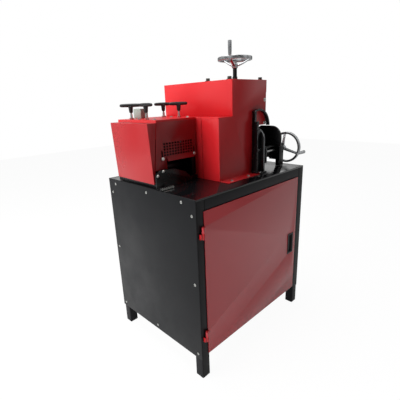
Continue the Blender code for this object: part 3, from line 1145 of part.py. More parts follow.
def drive(root):
    """The geared motor on the tray, its cross shaft and the two chains up to the rollers."""
    floor = TRAY_BOTTOM + FOOT_PLATE + FIT
    middle_x = (SMALL_CHAIN_X + LARGE_CHAIN_X) / 2 + GEARBOX_WIDTH
    left, right = middle_x - GEARBOX_WIDTH / 2, middle_x + GEARBOX_WIDTH / 2
    front, rear = DRIVE_Y - GEARBOX_DEPTH / 2, DRIVE_Y + GEARBOX_DEPTH / 2
    motor = box("gear_motor", (left, front, floor), (right, rear, DRIVE_Z + GEARBOX_DEPTH / 2))
    barrel = rod("barrel", (middle_x, rear - BITE, DRIVE_Z), (middle_x, rear + MOTOR_LENGTH, DRIVE_Z),
                 MOTOR_RADIUS, sides=28)
    feet = box("feet", (left - TUBE / 2, front - SHEET, floor), (right + TUBE / 2, rear + SHEET,
                                                               floor + 4 * FOOT_PLATE))
    weld(motor, barrel, feet)
    cut(motor, rod("bore", (left - TUBE, DRIVE_Y, DRIVE_Z), (right + TUBE, DRIVE_Y, DRIVE_Z),
                   DRIVE_SHAFT + RUNNING))
    dress(motor, GREY, root)
    spin = empty("drive_axis", (middle_x, DRIVE_Y, DRIVE_Z), root)
    reach = 1.5 * SPROCKET_WIDTH
    shaft = rod("drive_shaft", (SMALL_CHAIN_X - reach, DRIVE_Y, DRIVE_Z),
                (LARGE_CHAIN_X + reach, DRIVE_Y, DRIVE_Z), DRIVE_SHAFT)
    weld(shaft, *[rod("sprocket", (x - SPROCKET_WIDTH / 2, DRIVE_Y, DRIVE_Z),
                      (x + SPROCKET_WIDTH / 2, DRIVE_Y, DRIVE_Z), SPROCKET_RADIUS)
                  for x in (SMALL_CHAIN_X, LARGE_CHAIN_X)])
    dress(shaft, STEEL, spin, smooth=True)
    chain("small_drive_chain", SMALL_CHAIN_X, SHAFT_YS["rear"], SMALL_LOWER_Z, root)
    chain("large_drive_chain", LARGE_CHAIN_X, SCREW_Y, LOWER_AXIS_Z, root)


def chain(name, x, y, z, root):
    """A chain as a flat loop round the cross shaft's sprocket and a roller shaft's."""
    lean = math.atan2(z - DRIVE_Z, y - DRIVE_Y)
    outlines = []
    for radius in (SPROCKET_RADIUS + RUNNING + CHAIN_THICKNESS, SPROCKET_RADIUS + RUNNING):
        outlines.append(arc((y, z), radius, lean - math.pi / 2, lean + math.pi / 2, 12)
                        + arc((DRIVE_Y, DRIVE_Z), radius, lean + math.pi / 2, lean + 1.5 * math.pi, 12))
    dress(plate(name, "x", x - SPROCKET_WIDTH / 2, x + SPROCKET_WIDTH / 2, *outlines), STEEL, root)


def stand_on_origin(root):
    """Moves the whole machine so that the origin is on the floor under the middle of its box."""
    bpy.context.view_layer.update()
    corners = [piece.matrix_world @ Vector(corner) for piece in PARTS.objects if piece.type == "MESH"
               for corner in piece.bound_box]
    middle = [(min(c[i] for c in corners) + max(c[i] for c in corners)) / 2 for i in (0, 1)]
    root.location = (-middle[0], -middle[1], 0)
    bpy.context.view_layer.update()


machine = empty("machine", (0, 0, 0))
frame(machine)
bottom_tray(machine)
panels(machine)
door(machine)
front_cover(machine)
rear_covers(machine)
roller_frame(machine)
pressure_screw(machine, large_rollers(machine))
guide_post(machine)
guide_table(machine)
sliding_cheek(machine)
guide_screw(machine)
small_base(machine)
bearing_plates(machine)
small_housing(machine)
side_cover(machine)
front_guard(machine)
small_rollers(machine)
switch_box(machine)
drive(machine)
stand_on_origin(machine)
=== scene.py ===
"""Wire stripping machine, dressed: painted covers, chrome handwheels and castings round the CAD model."""
import json
import math

import bmesh
import bpy
from mathutils import Matrix, Vector

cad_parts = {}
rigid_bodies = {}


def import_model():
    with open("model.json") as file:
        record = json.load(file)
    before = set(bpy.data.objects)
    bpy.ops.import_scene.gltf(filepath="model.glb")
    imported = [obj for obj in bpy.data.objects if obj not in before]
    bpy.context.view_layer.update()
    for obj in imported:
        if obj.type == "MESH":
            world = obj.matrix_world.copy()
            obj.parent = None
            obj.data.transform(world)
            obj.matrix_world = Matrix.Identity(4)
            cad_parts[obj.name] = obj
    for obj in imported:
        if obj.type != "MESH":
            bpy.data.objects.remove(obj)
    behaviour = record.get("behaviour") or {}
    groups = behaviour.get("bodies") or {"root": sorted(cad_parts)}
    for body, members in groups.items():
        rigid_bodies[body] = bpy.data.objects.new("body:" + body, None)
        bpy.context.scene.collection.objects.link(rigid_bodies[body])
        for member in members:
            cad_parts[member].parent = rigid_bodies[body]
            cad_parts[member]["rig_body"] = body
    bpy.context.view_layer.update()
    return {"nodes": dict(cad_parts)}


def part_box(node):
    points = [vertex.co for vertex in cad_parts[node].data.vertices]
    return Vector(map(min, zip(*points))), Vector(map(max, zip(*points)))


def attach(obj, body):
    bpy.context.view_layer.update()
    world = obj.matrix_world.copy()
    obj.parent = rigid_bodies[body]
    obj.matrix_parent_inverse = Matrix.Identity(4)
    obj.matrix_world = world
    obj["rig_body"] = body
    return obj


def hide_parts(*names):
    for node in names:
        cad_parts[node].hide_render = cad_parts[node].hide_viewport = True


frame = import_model()
MM = 0.001


# The studio: the camera stands at the machine's front left, a little above the deck, where the
# photograph was taken. A large soft light fills the left side, and bright surfaces mirror tall screens.
scene = bpy.context.scene
scene.view_settings.view_transform = "Standard"
deck_low, deck_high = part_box("top_plate")
cabinet_middle = Vector(((deck_low.x + deck_high.x) / 2, (deck_low.y + deck_high.y) / 2, 0))

CAMERA_PLACE = Vector((-1.0529, -1.0058, 1.0500))
CAMERA_YAW, CAMERA_PITCH, CAMERA_ROLL = (math.radians(a) for a in (44.328, 17.055, -2.267))
CAMERA_LENS = 28.81

ahead = Vector((math.sin(CAMERA_YAW) * math.cos(CAMERA_PITCH), math.cos(CAMERA_YAW) * math.cos(CAMERA_PITCH),
                -math.sin(CAMERA_PITCH)))
level = Vector((math.cos(CAMERA_YAW), -math.sin(CAMERA_YAW), 0))
upright = level.cross(ahead)
right = level * math.cos(CAMERA_ROLL) + upright * math.sin(CAMERA_ROLL)
up = upright * math.cos(CAMERA_ROLL) - level * math.sin(CAMERA_ROLL)
camera = bpy.data.objects.new("camera", bpy.data.cameras.new("camera"))
scene.collection.objects.link(camera)
camera.data.lens = CAMERA_LENS
camera.data.sensor_width = 36
camera.matrix_world = Matrix((right, up, -ahead)).transposed().to_4x4()
camera.location = cabinet_middle + CAMERA_PLACE
scene.camera = camera


def linear(code):
    """An sRGB hex colour as linear RGBA."""
    channels = [int(code[i:i + 2], 16) / 255 for i in (1, 3, 5)]
    return (*[c / 12.92 if c <= 0.04045 else ((c + 0.055) / 1.055) ** 2.4 for c in channels], 1)


def add(tree, kind, inputs=None, **settings):
    """Adds a node: its settings, and its inputs as values or as sockets to link."""
    made = tree.nodes.new(kind)
    for key, value in settings.items():
        setattr(made, key, value)
    for key, value in (inputs or {}).items():
        if isinstance(value, bpy.types.NodeSocket):
            tree.links.new(value, made.inputs[key])
        else:
            made.inputs[key].default_value = value
    return made


def linked(name, mesh):
    """A new object in the scene with its place in its mesh."""
    made = bpy.data.objects.new(name, mesh)
    scene.collection.objects.link(made)
    return made


def card(name, middle, width, height, facing):
    """An upright or tilted rectangle that faces a point."""
    mesh = bpy.data.meshes.new(name)
    w, h = width / 2, height / 2
    mesh.from_pydata([(-w, -h, 0), (w, -h, 0), (w, h, 0), (-w, h, 0)], [], [(0, 1, 2, 3)])
    turn = (Vector(facing) - Vector(middle)).to_track_quat("Z", "Y").to_matrix().to_4x4()
    mesh.transform(Matrix.Translation(middle) @ turn)
    made = linked(name, mesh)
    return made


def soft_light(name, place, target, width, height, power):
    """A rectangular area light that points at a target."""
    lamp = bpy.data.lights.new(name, "AREA")
    lamp.shape = "RECTANGLE"
    lamp.size, lamp.size_y, lamp.energy = width, height, power
    made = linked(name, lamp)
    made.location = place
    made.rotation_euler = (Vector(target) - Vector(place)).to_track_quat("-Z", "Y").to_euler()
    return made


left_softbox = soft_light("left_softbox", (-3.4, 1.25, 1.4), (0, 0.1, 0.8), width=3.2, height=3.2, power=165)
left_softbox.visible_glossy = False
soft_light("top_softbox", (-0.3, 0.5, 3.2), (0, 0, 0.7), width=2.0, height=2.0, power=62)

world = bpy.data.worlds.new("studio")
scene.world = world
world.use_nodes = True
sky = world.node_tree
sky.nodes.clear()
rays = add(sky, "ShaderNodeLightPath")
seen = add(sky, "ShaderNodeMath", {0: rays.outputs["Is Camera Ray"], 1: rays.outputs["Is Glossy Ray"]},
           operation="MAXIMUM")
seen = add(sky, "ShaderNodeMath", {0: seen.outputs[0], 1: rays.outputs["Is Transmission Ray"]},
           operation="MAXIMUM")
toward = add(sky, "ShaderNodeTexCoord").outputs["Generated"]
tall = add(sky, "ShaderNodeVectorMath", {0: toward, 1: (1.0, 1.0, 0.25)}, operation="MULTIPLY")
screens = add(sky, "ShaderNodeTexNoise", {"Vector": tall.outputs[0], "Scale": 2.6, "Detail": 1})


def banded(dark, bright):
    """Dark and bright bands with soft edges, out of the screens' noise."""
    return add(sky, "ShaderNodeMapRange",
               {"Value": screens.outputs["Fac"], "From Min": 0.46, "From Max": 0.54, "To Min": dark,
                "To Max": bright}, interpolation_type="SMOOTHSTEP").outputs[0]


rise = add(sky, "ShaderNodeSeparateXYZ", {0: toward})
climb = add(sky, "ShaderNodeMapRange", {"Value": rise.outputs["Z"], "From Min": 0.0, "From Max": 0.3},
            interpolation_type="SMOOTHSTEP")
mirrored = add(sky, "ShaderNodeMix", {0: climb.outputs[0], 2: banded(0.2, 0.55), 3: banded(0.02, 1.1)})
glow = add(sky, "ShaderNodeMix", {0: rays.outputs["Is Glossy Ray"], 2: 1.0, 3: mirrored.outputs[0]})
room = add(sky, "ShaderNodeBackground", {"Color": (1, 1, 1, 1), "Strength": 0.09})
white = add(sky, "ShaderNodeBackground", {"Color": (1, 1, 1, 1), "Strength": glow.outputs[0]})
mixed = add(sky, "ShaderNodeMixShader", {0: seen.outputs[0], 1: room.outputs[0], 2: white.outputs[0]})
add(sky, "ShaderNodeOutputWorld", {"Surface": mixed.outputs[0]})

floor = card("floor", (0, 0, -0.0005), 14, 14, (0, 0, 5))
pale = bpy.data.materials.new("pale_floor")
pale.use_nodes = True
paper = pale.node_tree
paper.nodes.clear()
rays = add(paper, "ShaderNodeLightPath")
shown = add(paper, "ShaderNodeMath", {0: rays.outputs["Is Camera Ray"], 1: 0.93}, operation="MULTIPLY")
mirrored = add(paper, "ShaderNodeMath", {0: rays.outputs["Is Glossy Ray"], 1: 0.42}, operation="MULTIPLY")
share = add(paper, "ShaderNodeMath", {0: shown.outputs[0], 1: mirrored.outputs[0]}, operation="MAXIMUM")
matt = add(paper, "ShaderNodeBsdfDiffuse", {"Color": (0.86, 0.86, 0.86, 1)})
lit = add(paper, "ShaderNodeEmission", {"Color": (1, 1, 1, 1), "Strength": 1.03})
mixed = add(paper, "ShaderNodeMixShader", {0: share.outputs[0], 1: matt.outputs[0], 2: lit.outputs[0]})
add(paper, "ShaderNodeOutputMaterial", {"Surface": mixed.outputs[0]})
floor.data.materials.append(pale)


# The welded cabinet frame: four legs and four rails of 40 mm square steel tube with drawn, rounded
# corners, and a folded tray between the legs. Polyester powder coat, satin black, slightly pebbled.
TUBE, TUBE_WALL, TUBE_CORNER, FOOT_PLATE = 40 * MM, 2 * MM, 4 * MM, 3 * MM
CORNER_STEPS = 4
CREASE_DEGREES = 32


def finish(name, dark, light, patch, rough, grain, relief, **sockets):
    """A coated or bare surface: two near tones in patches, uneven gloss and a grain with its relief,
    lengths in millimetres."""
    made = bpy.data.materials.new(name)
    made.use_nodes = True
    tree = made.node_tree
    shader = tree.nodes["Principled BSDF"]
    where = add(tree, "ShaderNodeTexCoord").outputs["Object"]
    patches = add(tree, "ShaderNodeTexNoise", {"Vector": where, "Scale": 1000 / patch, "Detail": 4,
                                               "Roughness": 0.6})
    tone = add(tree, "ShaderNodeMix", {0: patches.outputs["Fac"], 6: linear(dark), 7: linear(light)},
               data_type="RGBA")
    tree.links.new(tone.outputs[2], shader.inputs["Base Color"])
    gloss = add(tree, "ShaderNodeMapRange",
                {"Value": patches.outputs["Fac"], "From Min": 0.3, "From Max": 0.7, "To Min": rough[0],
                 "To Max": rough[1]})
    tree.links.new(gloss.outputs[0], shader.inputs["Roughness"])
    pebble = add(tree, "ShaderNodeTexNoise", {"Vector": where, "Scale": 1000 / grain, "Detail": 2})
    bump = add(tree, "ShaderNodeBump", {"Height": pebble.outputs["Fac"], "Strength": 1.0,
                                        "Distance": relief * MM})
    tree.links.new(bump.outputs[0], shader.inputs["Normal"])
    for key, value in sockets.items():
        shader.inputs[key.replace("_", " ")].default_value = value
    return made


# Satin black powder coat on steel tube: soft broad highlights and a fine orange peel of about 1.5 mm
frame_coat = finish("black_powder_coat_on_tube", "#141416", "#1d1d20", 90, (0.34, 0.46), 1.5, 0.03,
                    Specular_IOR_Level=0.15)


def slab(shape, low, high, rounding=0.8 * MM):
    """Adds a plate or block with rounded edges to a shape."""
    low, high = Vector(low), Vector(high)
    cube = bmesh.ops.create_cube(shape, size=1)["verts"]
    bmesh.ops.scale(shape, vec=high - low, verts=cube)
    bmesh.ops.translate(shape, vec=(high + low) / 2, verts=cube)
    edges = list({edge for vert in cube for edge in vert.link_edges})
    rounding = min(rounding, min(high - low) * 0.45)
    bmesh.ops.bevel(shape, geom=edges, offset=rounding, segments=2, profile=0.5, affect="EDGES",
                    clamp_overlap=True)


def settled(name, shape, material, angle=CREASE_DEGREES):
    """Turns a shape into an object whose round stretches are smooth and whose edges stay crisp."""
    bmesh.ops.remove_doubles(shape, verts=shape.verts, dist=0.000002)
    bmesh.ops.recalc_face_normals(shape, faces=shape.faces)
    mesh = bpy.data.meshes.new(name)
    shape.to_mesh(mesh)
    shape.free()
    mesh.shade_smooth()
    mesh.set_sharp_from_angle(angle=math.radians(angle))
    mesh.materials.append(material)
    return linked(name, mesh)


def rides_with(piece, node):
    """The piece rides on the body of a CAD node."""
    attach(piece, frame["nodes"][node]["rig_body"])


def stands_for(piece, node):
    """The piece rides on the body of a CAD node and takes the node's place."""
    rides_with(piece, node)
    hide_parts(node)


def made_real(piece, angle):
    """Keeps what a piece's modifiers make: round stretches smooth, edges past the angle crisp."""
    bpy.context.view_layer.update()
    real = bpy.data.meshes.new_from_object(piece.evaluated_get(bpy.context.evaluated_depsgraph_get()))
    piece.modifiers.clear()
    piece.data = real
    real.shade_smooth()
    real.set_sharp_from_angle(angle=math.radians(angle))


def around(spots, radius):
    """What softened leaves out: a cylinder of this radius about each spot."""
    return [(spot, way, radius) for spot, way in spots]


def softened(node, name, material, rounding, without=(), edge=None):
    """A welded copy of a CAD node with its edges rounded, less what stands within a radius of some
    spots, which pieces of their own show. The rounded edges may have a material of their own."""
    shape = bmesh.new()
    shape.from_mesh(frame["nodes"][node].data)
    bmesh.ops.remove_doubles(shape, verts=shape.verts, dist=0.00001)
    for spot, way, radius in without:
        spot, way = Vector(spot), Vector(way).normalized()
        gone = []
        for face in shape.faces:
            offsets = [vert.co - spot for vert in face.verts]
            along = [offset.dot(way) for offset in offsets]
            out = [(offset - way * reach).length for offset, reach in zip(offsets, along)]
            if max(out) < radius and min(along) > -1.5 * MM and max(along) > 0.5 * MM:
                gone.append(face)
        bmesh.ops.delete(shape, geom=gone, context="FACES")
    bmesh.ops.dissolve_limit(shape, angle_limit=math.radians(0.5), verts=shape.verts, edges=shape.edges)
    mesh = bpy.data.meshes.new(name)
    shape.to_mesh(mesh)
    shape.free()
    piece = linked(name, mesh)
    bevel = piece.modifiers.new("rounding", "BEVEL")
    bevel.width = rounding
    bevel.segments = 2
    bevel.limit_method = "ANGLE"
    bevel.angle_limit = math.radians(40)
    mesh.materials.clear()
    mesh.materials.append(material)
    if edge:
        mesh.materials.append(edge)
        bevel.material = 1
    for face in mesh.polygons:
        face.material_index = 0
    made_real(piece, CREASE_DEGREES)
    piece.data.name = name
    return piece


def square_tube(shape, low, high, axis, foot=0.0):
    """Adds a square tube with rounded corners, open at both ends or closed by a foot plate."""
    low, high = Vector(low), Vector(high)
    others = [i for i in range(3) if i != axis]
    rings = []
    for inset, radius, ends in ((0, TUBE_CORNER, (low[axis], high[axis])),
                                (TUBE_WALL, TUBE_CORNER - TUBE_WALL, (high[axis], low[axis] + foot))):
        for end in ends:
            ring = []
            for quarter in range(4):
                signs = ((1, 1), (-1, 1), (-1, -1), (1, -1))[quarter]
                for step in range(CORNER_STEPS + 1):
                    turn = (quarter + step / CORNER_STEPS) * math.pi / 2
                    point = Vector((0, 0, 0))
                    point[axis] = end
                    for i, sign, bend in zip(others, signs, (math.cos(turn), math.sin(turn))):
                        edge = high[i] - inset if sign > 0 else low[i] + inset
                        point[i] = edge - sign * radius + radius * bend
                    ring.append(shape.verts.new(point))
            rings.append(ring)
    pairs = [(0, 1), (1, 2), (2, 3)] + ([] if foot else [(3, 0)])
    for a, b in pairs:
        for i in range(len(rings[a])):
            j = (i + 1) % len(rings[a])
            shape.faces.new((rings[a][i], rings[a][j], rings[b][j], rings[b][i]))
    if foot:
        shape.faces.new(rings[0])
        shape.faces.new(rings[3])


for corner in ("front_left", "front_right", "rear_left", "rear_right"):
    low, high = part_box(f"leg_{corner}")
    if corner == "front_right":
        low.x = high.x - TUBE
    shape = bmesh.new()
    square_tube(shape, low, high, 2, foot=FOOT_PLATE)
    if corner == "front_right":
        # The door's stop: a strip on the leg's inner side, from the tray to the rail
        stop_low, stop_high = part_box("bottom_tray")[1].z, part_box("top_rail_front")[0].z
        slab(shape, (low.x - 17 * MM, low.y + 2 * MM, stop_low), (low.x + 1 * MM, low.y + 4 * MM, stop_high))
    stands_for(settled(f"tube_leg_{corner}", shape, frame_coat), f"leg_{corner}")
for side, axis in (("front", 0), ("rear", 0), ("left", 1), ("right", 1)):
    shape = bmesh.new()
    square_tube(shape, *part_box(f"top_rail_{side}"), axis)
    stands_for(settled(f"tube_rail_{side}", shape, frame_coat), f"top_rail_{side}")
stands_for(softened("bottom_tray", "folded_tray", frame_coat, 0.8 * MM), "bottom_tray")


# The side and rear panels: 2 mm sheet, satin black, with the faint cloudy sheen that handling leaves.
# Zinc-plated pan-head screws with cross recesses hold them to the frame.
SCREW_RADIUS, SCREW_HEIGHT, SCREW_INSET = 5.5 * MM, 2.6 * MM, 20 * MM

# Satin polyester powder coat on sheet: a shade darker than on the tubes, its gloss cloudy
panel_coat = finish("black_powder_coat_on_sheet", "#0d0e10", "#141518", 160, (0.36, 0.52), 1.2, 0.02,
                    Specular_IOR_Level=0.25)
# Bright zinc plate, slightly uneven: blue-white metal with a soft crystalline mottling
zinc = finish("bright_zinc_plate", "#b9bab6", "#dcddd8", 2.5, (0.22, 0.42), 0.6, 0.02, Metallic=1.0)


def new_tree(name, *inputs):
    """A Geometry Nodes tree with named inputs, its geometry in and out."""
    tree = bpy.data.node_groups.new(name, "GeometryNodeTree")
    tree.interface.new_socket("Geometry", in_out="INPUT", socket_type="NodeSocketGeometry")
    tree.interface.new_socket("Geometry", in_out="OUTPUT", socket_type="NodeSocketGeometry")
    for label, kind in inputs:
        tree.interface.new_socket(label, in_out="INPUT", socket_type=f"NodeSocket{kind}")
    return tree, add(tree, "NodeGroupInput").outputs


def vector_of(tree, x=0.0, y=0.0, z=0.0):
    """A vector from sockets or numbers."""
    return add(tree, "ShaderNodeCombineXYZ", {"X": x, "Y": y, "Z": z}).outputs[0]


def times(tree, value, factor):
    """A socket's value times a factor."""
    return add(tree, "ShaderNodeMath", {0: value, 1: factor}, operation="MULTIPLY").outputs[0]


def stand_on(tree, given, points, thing, rotation):
    """Ends a tree: one thing on each point, as real geometry in the given material."""
    put = add(tree, "GeometryNodeInstanceOnPoints", {"Points": points, "Instance": thing,
                                                     "Rotation": rotation})
    real = add(tree, "GeometryNodeRealizeInstances", {"Geometry": put.outputs[0]})
    dressed = add(tree, "GeometryNodeSetMaterial", {"Geometry": real.outputs[0],
                                                    "Material": given["Material"]})
    add(tree, "NodeGroupOutput", {0: dressed.outputs[0]})


def heads_on_spots(tree, given, head):
    """Ends a tree: one head on each point, along its direction and turned by chance."""
    way = add(tree, "GeometryNodeInputNamedAttribute", {"Name": "way"}, data_type="FLOAT_VECTOR")
    aim = add(tree, "FunctionNodeAlignRotationToVector", {"Vector": way.outputs[0]}, axis="Z")
    turn = add(tree, "FunctionNodeRandomValue", {2: 0.0, 3: math.tau, "Seed": given["Seed"]})
    spin = add(tree, "FunctionNodeAxisAngleToRotation", {"Axis": (0, 0, 1), "Angle": turn.outputs[1]})
    both = add(tree, "FunctionNodeRotateRotation", {0: aim.outputs[0], 1: spin.outputs[0]},
               rotation_space="LOCAL")
    stand_on(tree, given, given["Geometry"], head, both.outputs[0])


pan_heads, given = new_tree("pan_head_screws", ("Radius", "Float"), ("Height", "Float"), ("Seed", "Int"),
                            ("Material", "Material"))
ball = add(pan_heads, "GeometryNodeMeshUVSphere", {"Segments": 20, "Rings": 12, "Radius": 1.0})
dome = add(pan_heads, "GeometryNodeTransform",
           {"Geometry": ball.outputs[0],
            "Scale": vector_of(pan_heads, given["Radius"], given["Radius"], given["Height"])})
arm_long, arm_wide = times(pan_heads, given["Radius"], 1.15), times(pan_heads, given["Radius"], 0.26)
arms = []
for x, y in ((arm_long, arm_wide), (arm_wide, arm_long)):
    arm = add(pan_heads, "GeometryNodeMeshCube", {"Size": vector_of(pan_heads, x, y, given["Height"])})
    arms.append(add(pan_heads, "GeometryNodeTransform",
                    {"Geometry": arm.outputs[0],
                     "Translation": vector_of(pan_heads, z=given["Height"])}).outputs[0])
recess = add(pan_heads, "GeometryNodeMeshBoolean", {"Mesh 1": dome.outputs[0]}, operation="DIFFERENCE")
for arm in arms:
    pan_heads.links.new(arm, recess.inputs["Mesh 2"])
heads_on_spots(pan_heads, given, recess.outputs[0])


def grown(name, tree, mesh, **inputs):
    """Runs a tree on a mesh and keeps what it makes."""
    piece = linked(name, mesh)
    modifier = piece.modifiers.new("tree", "NODES")
    modifier.node_group = tree
    for item in tree.interface.items_tree:
        if item.item_type == "SOCKET" and item.in_out == "INPUT" and item.name in inputs:
            modifier[item.identifier] = inputs[item.name]
    made_real(piece, 35)
    return piece


def on_spots(name, tree, spots, **inputs):
    """Runs a tree on points that each have a place and a direction."""
    mesh = bpy.data.meshes.new(name)
    mesh.from_pydata([spot for spot, _ in spots], [], [])
    ways = mesh.attributes.new("way", "FLOAT_VECTOR", "POINT")
    for item, (_, way) in zip(ways.data, spots):
        item.vector = way
    return grown(name, tree, mesh, **inputs)


def sheet_panel(node, name, spots, way):
    """A plain sheet inside a panel's box, less the height of its screw heads, and the screws on it."""
    low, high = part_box(node)
    for i in range(3):
        if way[i] > 0:
            high[i] -= SCREW_HEIGHT
        elif way[i] < 0:
            low[i] += SCREW_HEIGHT
    shape = bmesh.new()
    slab(shape, low, high, 0.7 * MM)
    stands_for(settled(name, shape, panel_coat), node)
    screws = on_spots(f"{name}_screws", pan_heads, [(spot, way) for spot in spots(low, high)],
                      Radius=SCREW_RADIUS, Height=SCREW_HEIGHT, Seed=3, Material=zinc)
    rides_with(screws, node)


for node, sign in (("left_panel", -1), ("right_panel", 1)):
    def side_spots(low, high, sign=sign):
        x = low.x if sign < 0 else high.x
        middle, side = (low.y + high.y) / 2, (high.y - low.y) / 2 - SCREW_INSET
        bottom, top = low.z + SCREW_INSET, high.z - SCREW_INSET
        rows = [(middle + side * share, top) for share in (-0.8, 0, 0.88)] + [(middle, bottom)]
        heights = (bottom, (bottom + top) / 2, top - 2 * SCREW_INSET)
        rows += [(middle + end * side, z) for end in (-1, 1) for z in heights]
        return [(x, y, z) for y, z in rows]
    sheet_panel(node, f"{node}_sheet", side_spots, (sign, 0, 0))


def rear_spots(low, high):
    middle, reach = (low.x + high.x) / 2, (high.x - low.x) / 2 - SCREW_INSET - 3 * MM
    heights = (low.z + SCREW_INSET, (low.z + high.z) / 2, high.z - SCREW_INSET)
    return [(middle + across * reach, high.y, z) for across in (-1, 0, 1) for z in heights]


sheet_panel("rear_panel", "rear_panel_sheet", rear_spots, (0, 1, 0))


# The deck: 7 mm steel plate in black gloss enamel, polished enough to mirror what stands on it.
# Black gloss enamel: near-mirror reflections, softened a little in patches
deck_enamel = finish("black_gloss_enamel", "#0d0d0f", "#151517", 140, (0.06, 0.17), 3.0, 0.004)
stands_for(softened("top_plate", "deck_plate", deck_enamel, 0.9 * MM), "top_plate")


# The door: folded steel sheet on two lift-off hinges, with a recessed black pull. The hinges have the
# covers' red; the door has a paler copy of it, which is painted light, and a glossier finish.
# Red gloss powder coat: a clear, even red with a light orange peel of about 1.6 mm
red_coat = finish("red_gloss_powder_coat", "#c81f25", "#d5262b", 220, (0.27, 0.3), 1.6, 0.012,
                  Specular_IOR_Level=0.38)
# The door's red is the covers' red made paler: painted light for the light the door catches
door_coat_painted_lighter = finish("red_powder_coat_painted_lighter_on_door", "#cc3a40", "#d24046", 260, (0.23, 0.26), 1.6, 0.01)
stands_for(softened("door", "door_sheet", door_coat_painted_lighter, 0.8 * MM), "door")
for end in ("upper", "lower"):
    stands_for(softened(f"{end}_door_hinge", f"{end}_hinge_knuckle", red_coat, 0.4 * MM),
               f"{end}_door_hinge")

# Moulded black nylon: matt, with a fine spark-eroded grain
nylon = finish("black_moulded_nylon", "#101011", "#161617", 30, (0.42, 0.55), 0.7, 0.03)
stands_for(softened("door_pull", "recessed_pull", nylon, 1.0 * MM), "door_pull")
stands_for(softened("cable_gland", "cable_gland_nut", nylon, 0.5 * MM), "cable_gland")


# The covers of the large unit: bent 2 mm sheet in red gloss powder coat. A front sheet with a bolted
# foot flange, a housing with a ledge, and a hood that overhangs it, bolted down from above.
SHEET_AND_FIT, ROW_INSET = 2.3 * MM, 24 * MM
hood_low, hood_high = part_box("upper_hood")
cover_left, cover_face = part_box("front_cover")[0].x, hood_low.y - SHEET_AND_FIT
hood_right, hood_top = hood_high.x - 2 * MM, hood_high.z - 12 * MM
left_row, right_row = hood_low.x + 12 * MM, hood_right - 13 * MM
hood_spots = [(left_row, cover_face + ROW_INSET), (left_row, cover_face + 140 * MM),
              (right_row, cover_face + ROW_INSET), (right_row, hood_high.y - ROW_INSET)]
hood_bolts = [((x, y, hood_top), (0, 0, 1)) for x, y in hood_spots]

flange_bolts = [((cover_left + across, cover_face - 32.5 * MM, deck_high.z + SHEET_AND_FIT), (0, 0, 1))
                for across in (35 * MM, 143 * MM)]
face_bolts = [((hood_right - 11 * MM, cover_face, z), (0, -1, 0))
              for z in (deck_high.z + 211 * MM, hood_top - 81 * MM)]

stands_for(softened("front_cover", "bent_front_sheet", red_coat, 0.8 * MM,
                    around(flange_bolts + face_bolts, 7.5 * MM)), "front_cover")
stands_for(softened("lower_housing", "ledge_housing", red_coat, 0.8 * MM), "lower_housing")
stands_for(softened("upper_hood", "overhanging_hood", red_coat, 0.8 * MM, around(hood_bolts, 11 * MM)),
           "upper_hood")


def hexagon(tree, given, cap_width, cap_height):
    """A hexagonal head with its upper corners turned off: a prism within a flattened ball, whose width and
    height are shares of the head's radius and height."""
    radius, height = given["Radius"], given["Height"]
    prism = add(tree, "GeometryNodeMeshCylinder", {"Vertices": 6, "Radius": radius, "Depth": height})
    raised = add(tree, "GeometryNodeTransform",
                 {"Geometry": prism.outputs[0], "Translation": vector_of(tree, z=times(tree, height, 0.5))})
    ball = add(tree, "GeometryNodeMeshUVSphere", {"Segments": 32, "Rings": 24, "Radius": 1.0})
    wide = times(tree, radius, cap_width)
    cap = add(tree, "GeometryNodeTransform",
              {"Geometry": ball.outputs[0],
               "Scale": vector_of(tree, wide, wide, times(tree, height, cap_height)),
               "Translation": vector_of(tree, z=times(tree, height, -0.1))})
    chamfered = add(tree, "GeometryNodeMeshBoolean", operation="INTERSECT")
    for half in (raised.outputs[0], cap.outputs[0]):
        tree.links.new(half, chamfered.inputs["Mesh 2"])
    return chamfered.outputs[0]


hex_bolts, given = new_tree("washered_hex_bolts", ("Radius", "Float"), ("Height", "Float"), ("Seed", "Int"),
                            ("Material", "Material"))
washer = add(hex_bolts, "GeometryNodeMeshCylinder",
             {"Vertices": 28, "Radius": times(hex_bolts, given["Radius"], 1.4),
              "Depth": times(hex_bolts, given["Height"], 0.36)})
both = add(hex_bolts, "GeometryNodeJoinGeometry")
for half in (hexagon(hex_bolts, given, 1.18, 1.75), washer.outputs[0]):
    hex_bolts.links.new(half, both.inputs[0])
heads_on_spots(hex_bolts, given, both.outputs[0])

ring_nuts, given = new_tree("ring_nuts", ("Radius", "Float"), ("Height", "Float"), ("Bore", "Float"),
                            ("Seed", "Int"), ("Material", "Material"))
drill = add(ring_nuts, "GeometryNodeMeshCylinder", {"Vertices": 28, "Radius": given["Bore"],
                                                    "Depth": times(ring_nuts, given["Height"], 4.0)})
bored = add(ring_nuts, "GeometryNodeMeshBoolean", {"Mesh 1": hexagon(ring_nuts, given, 1.12, 1.9)},
            operation="DIFFERENCE")
ring_nuts.links.new(drill.outputs[0], bored.inputs["Mesh 2"])
heads_on_spots(ring_nuts, given, bored.outputs[0])

# Blackened steel bolt heads on the hood, oiled: a warm dark grey, uneven
blackened = finish("blackened_bolt_steel", "#4b4742", "#6b655e", 4, (0.28, 0.45), 0.8, 0.02, Metallic=1.0)
rides_with(on_spots("hood_bolts", hex_bolts, hood_bolts, Radius=8.3 * MM, Height=11.6 * MM, Seed=5,
                    Material=blackened), "upper_hood")
rides_with(on_spots("cover_bolts", hex_bolts, flange_bolts + face_bolts, Radius=5.6 * MM, Height=4.6 * MM,
                    Seed=8, Material=zinc), "front_cover")


# The stripping head: two black castings as side plates, the driven feed roller, and the blade roller in
# its yoke. The rollers and the yoke are machined steel, oiled.
# Ground steel: mid grey, its gloss uneven, with a fine grain of about 0.8 mm
ground_steel = finish("ground_steel", "#8e8e8d", "#a9a9a8", 25, (0.24, 0.4), 0.8, 0.015, Metallic=1.0)
